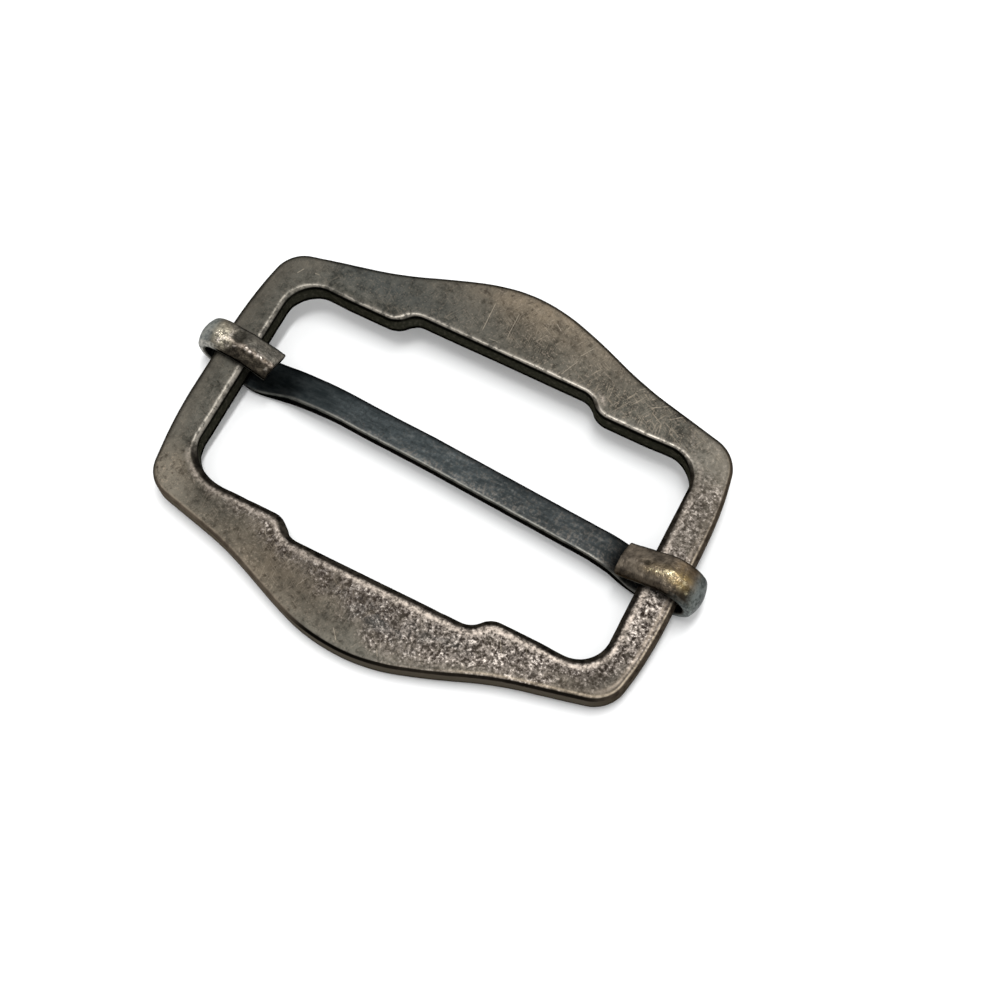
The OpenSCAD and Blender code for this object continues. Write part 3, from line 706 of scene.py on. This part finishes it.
# dark pits, and a blob at (19.3, 0.35) darkening the right curl towards its far edge: painted shade
pit = np.clip(ramp(blob(VB, (-20.2, 2.15), np.array([0.62, 0.85])) + 0.25 * rough(VB, 0.5, 71, 2), 0.32, 0.62)
              + 0.8 * ramp(blob(VB, (18.95, -0.45), np.array([0.40, 0.28])), 0.3, 0.6) + 0.45 * blob(VB, (19.3, 0.35), np.array([1.0, 0.40])), 0, 1) * outside
nose = np.clip(outside * (ramp(X, 22.7, 23.6) + 0.85 * ramp(-X, 22.0, 23.2)), 0, 1)
bar_vis = build("sliding_bar", VB, quads_b, tri_b, attrs={
    "curl": np.clip(curl_l + curl_r, 0, 1), "rim": rim, "ridge": np.clip(ridge, 0, 1), "low_side": low_side, "side_nose": side_nose,
    "low_line": np.clip(low_line, 0, 1), "dark_edge": dark_edge, "tilt": ramp(-AL, 8.5, 12.5) * straight, "tab": ramp(AL, 26.0, 28.0),
    "near": (U < 0).astype(float) * ramp(-U, 0.2, 1.2), "along": AL / 30.0, "brass": brass, "spots": spots,
    "far_facet": far_facet, "near_facet": near_facet, "pit": pit, "left": (AL < 0).astype(float), "gold": gold, "nose": nose, "turned": turned, "tone": bar_tone, "orange": orange, "far_line": np.clip(far_line, 0, 1), "near_band": near_band})

# ------------------------------------------------------------------ materials
class Nodes:
    """A short way to write a node tree."""

    def __init__(self, name):
        self.mat = bpy.data.materials.new(name)
        self.mat.use_nodes = True
        self.t = self.mat.node_tree
        self.bsdf = self.t.nodes["Principled BSDF"]
        tc = self.t.nodes.new("ShaderNodeTexCoord")
        scale = self.t.nodes.new("ShaderNodeVectorMath")
        scale.operation = "SCALE"
        scale.inputs[3].default_value = 1000.0
        self.t.links.new(tc.outputs["Object"], scale.inputs[0])
        self.p = scale.outputs[0]                 # the place in mm

    def put(self, socket, v):
        if isinstance(v, bpy.types.NodeSocket):
            self.t.links.new(v, socket)
        elif v is not None:
            socket.default_value = v

    def math(self, op, a, b=None, c=None, clamp=False):
        n = self.t.nodes.new("ShaderNodeMath")
        n.operation = op
        n.use_clamp = clamp
        for s, v in zip(n.inputs, (a, b, c)):
            self.put(s, v)
        return n.outputs[0]

    def add(self, a, b, clamp=False): return self.math("ADD", a, b, clamp=clamp)
    def sub(self, a, b, clamp=False): return self.math("SUBTRACT", a, b, clamp=clamp)
    def mul(self, a, b, clamp=False): return self.math("MULTIPLY", a, b, clamp=clamp)
    def max(self, a, b): return self.math("MAXIMUM", a, b)

    def attr(self, name):
        n = self.t.nodes.new("ShaderNodeAttribute")
        n.attribute_type = "GEOMETRY"
        n.attribute_name = name
        return n.outputs["Fac"]

    def noise(self, size, detail=2.0, rough=0.55, shift=(0, 0, 0), stretch=(1, 1, 1), distort=0.0, turn=0.0):
        m = self.t.nodes.new("ShaderNodeMapping")
        way = self.p
        if turn:
            r = self.t.nodes.new("ShaderNodeVectorRotate")
            r.rotation_type = "Z_AXIS"
            r.inputs["Angle"].default_value = math.radians(turn)
            self.t.links.new(way, r.inputs["Vector"])
            way = r.outputs[0]
        self.t.links.new(way, m.inputs["Vector"])
        m.inputs["Location"].default_value = shift
        m.inputs["Scale"].default_value = [s / size for s in stretch]
        n = self.t.nodes.new("ShaderNodeTexNoise")
        n.inputs["Scale"].default_value = 1.0
        n.inputs["Detail"].default_value = detail
        n.inputs["Roughness"].default_value = rough
        n.inputs["Distortion"].default_value = distort
        self.t.links.new(m.outputs[0], n.inputs["Vector"])
        return n.outputs["Fac"]

    def ramp(self, v, a, b, lo=0.0, hi=1.0):
        n = self.t.nodes.new("ShaderNodeMapRange")
        n.interpolation_type = "SMOOTHSTEP"
        for s, w in zip(n.inputs, (v, a, b, lo, hi)):
            self.put(s, w)
        return n.outputs[0]

    def times(self, colour, f):
        n = self.t.nodes.new("ShaderNodeVectorMath")
        n.operation = "SCALE"
        self.put(n.inputs[0], colour)
        self.put(n.inputs[3], f)
        return n.outputs[0]

    def mix(self, f, a, b):
        n = self.t.nodes.new("ShaderNodeMix")
        n.data_type = "RGBA"
        self.put(n.inputs[0], f)
        for s, v in ((n.inputs[6], a), (n.inputs[7], b)):
            self.put(s, v if isinstance(v, bpy.types.NodeSocket) or len(v) == 4 else (*v, 1.0))
        return n.outputs[2]

    def scratch(self, a, b, width, p=None):
        """1 on the line from a to b in the XY plane, 0 past its width, thinner towards its ends."""
        ax, ay = a
        dx, dy = b[0] - ax, b[1] - ay
        length = math.hypot(dx, dy)
        t = self.t
        vm = t.nodes.new("ShaderNodeVectorMath"); vm.operation = "SUBTRACT"
        t.links.new(self.flat, vm.inputs[0]); vm.inputs[1].default_value = (ax, ay, 0)
        dot = t.nodes.new("ShaderNodeVectorMath"); dot.operation = "DOT_PRODUCT"
        t.links.new(vm.outputs[0], dot.inputs[0]); dot.inputs[1].default_value = (dx / length ** 2, dy / length ** 2, 0)
        f = self.math("MINIMUM", self.math("MAXIMUM", dot.outputs["Value"], 0.0), 1.0)
        sc = t.nodes.new("ShaderNodeVectorMath"); sc.operation = "SCALE"
        sc.inputs[0].default_value = (dx, dy, 0); t.links.new(f, sc.inputs[3])
        rest = t.nodes.new("ShaderNodeVectorMath"); rest.operation = "DISTANCE"
        t.links.new(vm.outputs[0], rest.inputs[0]); t.links.new(sc.outputs[0], rest.inputs[1])
        # tapering: 4 f (1 - f)
        taper = self.mul(self.mul(f, self.sub(1.0, f)), 4.0)
        return self.mul(self.ramp(rest.outputs["Value"], width, width * 0.3, 0.0, 1.0), self.ramp(taper, 0.0, 0.5))

    def bump(self, height, strength, distance, normal=None):
        n = self.t.nodes.new("ShaderNodeBump")
        n.inputs["Strength"].default_value = strength
        n.inputs["Distance"].default_value = distance * MM
        self.put(n.inputs["Height"], height)
        if normal is not None:
            self.t.links.new(normal, n.inputs["Normal"])
        return n.outputs[0]


def lin(*rgb):
    return tuple((c / 255 / 12.92) if c / 255 <= 0.04045 else ((c / 255 + 0.055) / 1.055) ** 2.4 for c in rgb)


def seen(r, g, b, light):
    """The base colour that looks like this sRGB colour where the reflected light is `light`."""
    return tuple(c / light for c in lin(r, g, b))


# ---- frame
g = Nodes("frame_metal")
flat = g.t.nodes.new("ShaderNodeVectorMath"); flat.operation = "MULTIPLY"
g.t.links.new(g.p, flat.inputs[0]); flat.inputs[1].default_value = (1, 1, 0)
g.flat = flat.outputs[0]
names = "grain bright warm cool brushed wall bevel chamfer dark_in crest dark_out inner rubbed lip groove skirt band lift tone seam shade_in"
(grain_a, bright_a, warm_a, cool_a, brushed_a, wall_a, bevel_a, chamfer_a, shade_rim_in_a, crest_shine_a, dark_out_a, inner_a,
 rubbed_a, lip_a, groove_a, skirt_a, band_a, lift_a, tone_a, edge_shade_line_a, shade_a) = (g.attr(k) for k in names.split())
big = g.noise(5.5, 3, 0.55)
mid = g.noise(1.5, 3, 0.6, (3, 7, 1))
small = g.noise(0.62, 3, 0.62, (6, 1, 8))
fine = g.noise(0.30, 3, 0.65, (11, 2, 5))
grit = g.noise(0.17, 2, 0.6, (5, 9, 2))
clump = g.noise(1.0, 3, 0.6, (1, 13, 4), distort=0.6)
patch = g.noise(2.4, 3, 0.6, (9, 3, 6))
LIT, GLIT = 2.78, 2.92
plain = g.sub(1.0, wall_a, clamp=True)
tone = g.add(g.mul(g.sub(big, 0.5), 0.9), g.mul(g.sub(mid, 0.5), 0.8))
tone = g.add(tone, g.mul(g.sub(small, 0.5), 0.75))
tone = g.add(tone, g.mul(g.sub(fine, 0.5), 0.80))
base = g.mix(g.ramp(tone, -0.36, 0.36), seen(60, 60, 55, LIT), seen(128, 125, 115, LIT))
base = g.mix(g.mul(cool_a, g.ramp(mid, 0.25, 0.65, 0.2, 0.75)), base, seen(80, 86, 86, LIT))
base = g.mix(g.mul(warm_a, g.ramp(g.add(mid, g.mul(g.sub(small, 0.5), 0.5)), 0.2, 0.75, 0.35, 1.0)), base, seen(147, 133, 114, LIT))
base = g.mix(g.mul(lift_a, g.ramp(mid, 0.25, 0.7, 0.35, 0.8)), base, seen(134, 128, 116, LIT))
livelier = g.add(g.mul(g.mul(warm_a, g.sub(1.0, g.mul(brushed_a, 0.45))), 0.95), 0.10)
base = g.mix(g.mul(livelier, g.ramp(g.add(g.mul(fine, 0.55), g.mul(grit, 0.45)), 0.54, 0.66, 0.0, 0.8)), base, seen(186, 168, 146, LIT))
base = g.mix(g.mul(livelier, g.ramp(g.add(g.mul(fine, 0.5), g.mul(small, 0.5)), 0.36, 0.50, 0.8, 0.0)), base, seen(58, 50, 42, LIT))
# cast and tumbled speckle
dark_speck = g.mix(bright_a, seen(68, 60, 53, GLIT), seen(47, 40, 35, GLIT))
speck = g.ramp(g.add(g.add(g.add(g.mul(fine, 0.46), g.mul(grit, 0.24)), g.mul(small, 0.26)), g.mul(clump, 0.18)), 0.495, 0.64)
dots = g.ramp(g.add(g.add(g.mul(fine, 0.55), g.mul(grit, 0.32)), g.mul(clump, 0.33)), 0.645, 0.72)
grainy = g.mix(speck, dark_speck, g.mix(bright_a, seen(136, 127, 119, GLIT), seen(196, 184, 173, GLIT)))
grainy = g.mix(g.mul(dots, g.add(g.mul(bright_a, 0.45), 0.5)), grainy, seen(255, 243, 231, GLIT * 0.88))
grainy = g.mix(g.mul(g.ramp(patch, 0.50, 0.66), 0.5), grainy, seen(104, 98, 90, GLIT))
vein = g.math("ABSOLUTE", g.sub(g.noise(0.8, 2, 0.6, (4, 8, 3), distort=0.8), 0.5), 0.0)
grainy = g.mix(g.mul(g.ramp(vein, 0.012, 0.040, 1.0, 0.0), g.mul(g.ramp(clump, 0.45, 0.62), 0.75)), grainy, seen(52, 44, 40, GLIT))
grainy = g.mix(g.mul(cool_a, g.ramp(clump, 0.42, 0.60, 0.15, 0.85)), grainy, seen(64, 70, 70, GLIT))
base = g.mix(g.mul(grain_a, g.ramp(clump, 0.22, 0.5, 0.55, 1.0)), base, grainy)
base = g.mix(g.mul(g.sub(1.0, grain_a), g.mul(g.ramp(fine, 0.50, 0.72), 0.34)), base, seen(52, 50, 46, LIT))
base = g.mix(g.mul(g.mul(g.sub(1.0, grain_a), g.ramp(grit, 0.56, 0.70)), g.add(g.mul(brushed_a, 0.38), 0.20)), base, seen(178, 164, 148, LIT))
# short rubbing marks in three directions, then single scratches
rub = None
for ang, shift in ((28, 1), (86, 5), (122, 9)):
    r_ = g.ramp(g.noise(1.0, 2, 0.55, (shift, shift * 2, 0), (0.75, 8.5, 0.3), turn=ang), 0.56, 0.70)
    rub = r_ if rub is None else g.max(rub, r_)
rub = g.mul(rub, g.ramp(patch, 0.30, 0.62))
base = g.mix(g.mul(g.mul(rub, plain), g.add(g.mul(brushed_a, 0.42), 0.14)), base, seen(190, 176, 156, LIT))
SCRATCHES = [((-2.72, 15.31), (-2.55, 12.22), 0.06), ((-0.45, 15.22), (-0.37, 12.61), 0.05), ((2.76, 15.76), (3.5, 15.25), 0.05),
             ((5.92, 13.85), (6.69, 15.11), 0.05), ((-1.76, 11.92), (-0.86, 12.01), 0.045), ((5.18, 11.58), (6.05, 13.57), 0.045),
             ((-19.38, 10.04), (-18.98, 10.78), 0.06), ((-17.97, 10.74), (-17.5, 10.79), 0.05),
             ((13.2, 12.2), (14.6, 13.1), 0.06), ((15.0, 11.9), (16.2, 12.9), 0.06), ((11.6, 13.2), (12.5, 14.0), 0.045),
             ((-1.0, -16.12), (-0.21, -17.05), 0.06), ((2.93, -16.11), (3.33, -16.73), 0.05), ((11.22, -10.98), (11.96, -12.13), 0.06),
             ((13.04, -10.21), (13.73, -11.23), 0.05), ((-5.33, -14.42), (-4.89, -13.57), 0.045), ((-10.2, -11.1), (-9.7, -11.9), 0.04)]
marks = None
for a_, b_, w_ in SCRATCHES:
    m_ = g.scratch(a_, b_, w_)
    marks = m_ if marks is None else g.max(marks, m_)
marks = g.mul(g.mul(marks, plain), g.ramp(fine, 0.30, 0.55, 0.45, 1.0))
base = g.mix(g.mul(marks, 0.55), base, seen(205, 192, 172, LIT))
base = g.times(base, g.mul(tone_a, 2.0))
# dark line along the outer edge, then the worn rims round the opening with a painted highlight on the far and left
# rails, outer chamfer, walls
base = g.mix(g.mul(dark_out_a, g.ramp(mid, 0.3, 0.7, 0.60, 0.85)), base, seen(52, 52, 48, LIT))
worn_and_highlight = g.mul(bevel_a, g.ramp(g.add(g.add(mid, g.mul(g.sub(small, 0.5), 0.8)), g.mul(g.sub(fine, 0.5), 1.1)), 0.30, 0.60, 0.22, 1.0))
base = g.mix(worn_and_highlight, base, seen(232, 223, 209, LIT))
# the crest line: wear with a painted highlight
line = g.mul(crest_shine_a, g.ramp(g.add(g.mul(fine, 0.6), g.add(g.mul(clump, 0.35), g.mul(grit, 0.2))), 0.45, 0.64, 0.22, 1.0))
base = g.mix(g.mul(shade_a, 0.55), base, seen(64, 60, 54, LIT))
base = g.mix(line, base, seen(236, 221, 206, LIT))
# dark inner rims of the near and right rails: painted shade
base = g.mix(shade_rim_in_a, base, g.mix(g.ramp(small, 0.35, 0.7), seen(34, 31, 27, 1.8), seen(76, 70, 62, 1.8)))
chamfer_c = g.mix(rubbed_a, seen(15, 13, 11, 1.8), g.mix(g.ramp(mid, 0.35, 0.65), seen(86, 76, 66, 1.6), seen(112, 101, 88, 1.6)))
base = g.mix(chamfer_a, base, chamfer_c)
side = g.mix(g.mul(rubbed_a, g.ramp(big, 0.3, 0.7, 0.6, 1.0)), seen(110, 103, 92, 1.8), seen(116, 105, 90, 1.8))
walls = g.mix(inner_a, side, g.mix(g.ramp(fine, 0.45, 0.74), seen(62, 62, 53, 1.8), seen(94, 91, 81, 1.8)))
base = g.mix(wall_a, base, walls)
# near-black lines at the wall edges, painted shade at the feet and underside bevels
base = g.mix(edge_shade_line_a, base, seen(5, 5, 4, 1.8))
base = g.mix(g.mul(skirt_a, 0.9), base, g.mix(g.ramp(small, 0.35, 0.65), seen(58, 50, 42, 1.8), seen(96, 86, 74, 1.8)))
base = g.mix(g.mul(band_a, g.ramp(small, 0.3, 0.6, 0.3, 0.75)), base, seen(196, 180, 162, LIT))
base = g.mix(g.mul(groove_a, 0.75), base, seen(78, 70, 62, LIT))
base = g.mix(g.mul(lip_a, g.ramp(g.add(mid, g.mul(g.sub(fine, 0.5), 0.7)), 0.28, 0.62, 0.35, 1.0), clamp=True), base, seen(186, 171, 150, 2.1))
g.put(g.bsdf.inputs["Base Color"], base)
g.bsdf.inputs["Metallic"].default_value = 1.0
g.bsdf.inputs["Specular Tint"].default_value = (0.36, 0.36, 0.35, 1.0)
rough_ = g.add(g.mul(g.sub(mid, 0.5), 0.25), 0.46)
rough_ = g.add(rough_, g.mul(wall_a, 0.15))
rough_ = g.sub(rough_, g.mul(worn_and_highlight, 0.08))
rough_ = g.add(rough_, g.mul(g.mul(grain_a, g.sub(fine, 0.5)), -0.3))
g.put(g.bsdf.inputs["Roughness"], g.math("MINIMUM", g.math("MAXIMUM", rough_, 0.2), 0.8))
height = g.add(g.mul(fine, g.add(g.mul(grain_a, 1.6), 0.35)), g.mul(grit, g.add(g.mul(grain_a, 1.0), 0.2)))
height = g.sub(height, g.add(g.mul(marks, 0.4), g.mul(rub, 0.15)))
g.t.links.new(g.bump(height, 0.5, 0.03), g.bsdf.inputs["Normal"])
frame_vis.data.materials.append(g.mat)

# ---- bar
h = Nodes("bar_metal")
names = "curl rim ridge low_side side_nose low_line dark_edge tilt tab near along brass spots far_facet near_facet pit left gold nose turned tone orange far_line near_band"
(curl_a, rim_a, ridge_shine_a, side_shade_a, sn_a, line_a, dedge_a, tilt_a, tab_a, near_a, along_a, brass_a, spot_glints_a, far_a, nearf_shade_a,
 pit_and_shade_a, left_a, gold_highlight_a, nose_a, turned_lightening_a, tone_a, orange_a, fline_a, nband_shade_a) = (h.attr(k) for k in names.split())
big = h.noise(4.5, 3, 0.55, (2, 1, 7))
mid = h.noise(1.1, 3, 0.6, (8, 3, 1))
small = h.noise(0.55, 3, 0.6, (3, 2, 9))
fine = h.noise(0.30, 2.5, 0.6, (1, 6, 4))
grit_b = h.noise(0.2, 2, 0.6, (4, 4, 2))
streak = h.noise(1.0, 3, 0.6, (2, 5, 0), (0.62, 2.4, 0.7), turn=-BAR_SKEW)
BLIT, CLIT = 2.85, 2.0
base = h.mix(h.ramp(h.add(h.mul(streak, 0.5), h.add(h.mul(big, 0.25), h.mul(fine, 0.25))), 0.34, 0.66), seen(56, 63, 65, BLIT), seen(92, 99, 101, BLIT))
base = h.mix(h.mul(h.ramp(h.add(h.mul(streak, 0.5), h.mul(fine, 0.5)), 0.57, 0.70), 0.4), base, seen(122, 130, 131, BLIT))
# brown speckle towards the right and towards the near edge
where = h.add(h.mul(h.ramp(along_a, -0.45, 0.45), 0.55), h.mul(near_a, 0.45))
speck = h.mul(h.ramp(h.add(h.mul(fine, 0.40), h.add(h.mul(streak, 0.30), h.mul(grit_b, 0.35))), 0.51, 0.62), where)
base = h.mix(h.mul(where, 0.45), base, seen(72, 70, 66, BLIT))
base = h.mix(h.mul(speck, 0.85), base, seen(136, 130, 122, BLIT))
base = h.mix(h.mul(h.ramp(grit_b, 0.5, 0.7), 0.40), base, seen(38, 40, 40, BLIT))
base = h.mix(h.mul(tilt_a, 0.7), base, h.mix(h.ramp(streak, 0.35, 0.65), seen(50, 57, 59, 1.7), seen(72, 78, 79, 1.7)))
base = h.times(base, h.mul(h.mul(tone_a, 2.0), h.ramp(near_a, 0.0, 1.0, 0.94, 1.34)))
base = h.mix(dedge_a, base, seen(4, 4, 5, 1.7))
# the curls' inner and side faces, inside and under the loops, dark: painted shade
base = h.mix(h.mul(curl_a, 0.6), base, seen(34, 34, 32, 1.9))
# the curled ends: grey-brown, worn to warm metal
outer = h.mix(h.ramp(h.add(h.mul(mid, 0.6), h.mul(small, 0.4)), 0.38, 0.62), seen(76, 68, 60, CLIT), seen(128, 116, 102, CLIT))
outer = h.mix(h.mul(far_a, h.mul(left_a, 0.8)), outer, h.mix(h.ramp(small, 0.35, 0.65), seen(88, 86, 80, CLIT), seen(112, 109, 101, CLIT)))
# darker near facets: painted shade
outer = h.mix(h.mul(nearf_shade_a, 0.88), outer, h.mix(h.ramp(h.add(h.mul(small, 0.5), h.mul(fine, 0.5)), 0.40, 0.66), seen(36, 33, 28, CLIT), seen(82, 76, 65, CLIT)))
outer = h.mix(h.mul(orange_a, h.ramp(h.add(h.mul(mid, 0.5), h.mul(fine, 0.5)), 0.35, 0.6, 0.3, 0.9)), outer, seen(132, 104, 62, CLIT))
# gold on the curls' crowns: rubbed brass with a painted highlight
outer = h.mix(h.mul(gold_highlight_a, h.ramp(h.add(h.mul(small, 0.55), h.mul(fine, 0.45)), 0.36, 0.58, 0.25, 1.0)), outer, h.mix(left_a, seen(228, 194, 124, CLIT * 0.85), seen(226, 217, 194, CLIT * 0.75)))
# ridge line: worn nicks with a painted highlight
outer = h.mix(h.mul(ridge_shine_a, h.mul(h.ramp(h.add(h.mul(fine, 0.5), h.mul(small, 0.5)), 0.42, 0.60), 0.75)), outer, seen(180, 168, 156, CLIT))
outer = h.mix(h.mul(h.mul(tab_a, h.sub(1.0, left_a)), 0.8), outer, h.mix(h.ramp(h.add(h.mul(mid, 0.5), h.mul(small, 0.5)), 0.38, 0.62), seen(88, 80, 71, 1.22), seen(132, 121, 107, 1.22)))
# bright spots: worn nicks with painted glints
outer = h.mix(h.mul(spot_glints_a, h.ramp(h.add(h.mul(fine, 0.5), h.mul(grit_b, 0.5)), 0.42, 0.56, 0.12, 1.0)), outer, h.mix(left_a, seen(255, 240, 196, CLIT * 0.62), seen(236, 224, 212, CLIT * 0.72)))
# dark pits, and the painted shade on the right curl's far side
outer = h.mix(h.mul(pit_and_shade_a, 0.8), outer, seen(48, 46, 40, CLIT))
# curl colour lightened where it turns away from up (painted light); the left curl lighter overall, its near facet
# darkened (painted shade)
outer = h.times(outer, h.add(h.add(h.mul(turned_lightening_a, h.add(h.mul(left_a, 1.6), 1.5)), 1.0), h.mul(left_a, h.sub(0.26, h.mul(nearf_shade_a, 0.40)))))
outer = h.mix(h.mul(nose_a, h.sub(1.0, left_a)), outer, h.mix(h.ramp(h.add(h.mul(mid, 0.5), h.mul(fine, 0.5)), 0.38, 0.62), seen(62, 66, 64, 1.3), seen(122, 127, 124, 1.3)))
# the left nose pale grey: painted reflection of the bright floor
outer = h.mix(h.mul(nose_a, left_a), outer, h.mix(h.ramp(h.add(h.mul(mid, 0.5), h.mul(fine, 0.5)), 0.36, 0.62), seen(112, 118, 118, 0.9), seen(176, 178, 172, 0.9)))
base = h.mix(brass_a, base, outer)
# side walls: near-black painted shade along the bar, browner on the tab
base = h.mix(h.mul(side_shade_a, 0.95), base, h.mix(tab_a, seen(12, 11, 10, 1.6), seen(78, 68, 58, 1.6)))
sn_mix = h.ramp(h.add(h.mul(small, 0.5), h.mul(fine, 0.5)), 0.38, 0.62)
base = h.mix(h.mul(sn_a, 0.9), base, h.mix(left_a, h.mix(sn_mix, seen(72, 78, 76, 1.3), seen(124, 130, 126, 1.3)), h.mix(sn_mix, seen(104, 102, 96, 1.4), seen(190, 186, 176, 1.4))))
base = h.mix(fline_a, base, seen(7, 6, 5, 1.7))
# dark band on the right tab's near edge: painted shade
base = h.mix(h.mul(nband_shade_a, 0.8), base, h.mix(h.ramp(small, 0.35, 0.65), seen(26, 22, 18, 1.8), seen(70, 61, 50, 1.8)))
edge_worn = h.mul(h.max(line_a, h.mul(rim_a, 0.6)), h.ramp(h.add(mid, h.mul(h.sub(streak, 0.5), 0.5)), 0.30, 0.62, 0.30, 1.0))
base = h.mix(h.mul(edge_worn, h.sub(1.0, h.mul(brass_a, 0.4))), base, seen(168, 166, 158, 2.2))
h.put(h.bsdf.inputs["Base Color"], base)
h.bsdf.inputs["Metallic"].default_value = 1.0
h.put(h.bsdf.inputs["Specular Tint"], h.mix(h.max(turned_lightening_a, sn_a), (0.30, 0.30, 0.29), (0.85, 0.86, 0.86)))
r_ = h.add(h.mul(h.sub(mid, 0.5), 0.25), 0.45)
r_ = h.sub(r_, h.mul(h.max(gold_highlight_a, spot_glints_a), 0.17))
h.put(h.bsdf.inputs["Roughness"], r_)
height = h.add(h.add(h.mul(fine, 0.5), h.mul(mid, 0.8)), h.mul(streak, 0.3))
height = h.add(height, h.mul(h.mul(brass_a, h.add(h.mul(h.max(gold_highlight_a, spot_glints_a), 0.55), 0.40)), h.add(h.mul(small, 6.0), h.mul(fine, 5.5))))
h.t.links.new(h.bump(height, 0.7, 0.04), h.bsdf.inputs["Normal"])
bar_vis.data.materials.append(h.mat)

for ob, node, mat in ((frame_vis, "frame", "frame_metal"), (bar_vis, "slide_bar", "bar_metal")):
    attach(ob, node)
    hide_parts(node)

# ------------------------------------------------- floor, light, camera
# the object rests on the bar's two curls and the near rail
rest = [Vector(p) * MM for p in ((-18.599, 1.297, 0.024), (21.298, -1.027, 0.325), (0.52, -17.148, 1.65))]
up = (rest[1] - rest[0]).cross(rest[2] - rest[0]).normalized()
if up.z < 0:
    up = -up
tilt = Vector((0, 0, 1)).rotation_difference(up).to_matrix().to_4x4()
floor_me = bpy.data.meshes.new("floor")
s = 1.5
floor_me.from_pydata([(-s, -s, 0), (s, -s, 0), (s, s, 0), (-s, s, 0)], [], [(0, 1, 2, 3)])
floor = bpy.data.objects.new("floor", floor_me)
bpy.context.scene.collection.objects.link(floor)
floor.matrix_world = Matrix.Translation(rest[0] - up * 0.00002) @ tilt
fm = bpy.data.materials.new("floor_white")
fm.use_nodes = True
fm.node_tree.nodes["Principled BSDF"].inputs["Base Color"].default_value = (0.86, 0.865, 0.865, 1)
fm.node_tree.nodes["Principled BSDF"].inputs["Roughness"].default_value = 0.8
fm.node_tree.nodes["Principled BSDF"].inputs["Specular IOR Level"].default_value = 0.1
floor_me.materials.append(fm)

world = bpy.data.worlds.new("studio")
world.use_nodes = True
world.node_tree.nodes["Background"].inputs[0].default_value = (1.0, 1.0, 1.0, 1)
world.node_tree.nodes["Background"].inputs[1].default_value = 0.88
bpy.context.scene.world = world


def softbox(name, direction, distance, size, power, color=(1, 1, 1)):
    la = bpy.data.lights.new(name, "AREA")
    la.shape = "ELLIPSE"
    la.size, la.size_y = size
    la.energy = power
    la.color = color
    ob = bpy.data.objects.new(name, la)
    bpy.context.scene.collection.objects.link(ob)
    d = Vector(direction).normalized()
    ob.location = d * distance
    ob.rotation_mode = "QUATERNION"
    ob.rotation_quaternion = d.to_track_quat("Z", "Y")
    return ob


softbox("key", (0.0, 0.12, 0.99), 0.7, (0.12, 0.42), 2.8)
softbox("ceiling", (0.0, 0.05, 1.0), 0.75, (1.6, 1.6), 1.8)

cam = bpy.data.cameras.new("camera")
cam.lens, cam.sensor_width, cam.sensor_fit = 60.48781, 36.0, "HORIZONTAL"
cam.clip_start, cam.clip_end = 0.01, 10
cam_ob = bpy.data.objects.new("camera", cam)
r0 = Vector((0.8875088199, 0.4599998605, -0.0269856068))
r1 = Vector((0.4211086523, -0.8334624357, -0.3577818767))
r2 = Vector((-0.1870711029, 0.3061706987, -0.9334151840))
m = Matrix((r0, -r1, -r2)).transposed().to_4x4()
m.translation = Vector((0.03139917, -0.04243568, 0.13134073))
cam_ob.matrix_world = m
bpy.context.scene.collection.objects.link(cam_ob)
bpy.context.scene.camera = cam_ob
bpy.context.scene.view_settings.view_transform = "Standard"

bpy.context.view_layer.update()
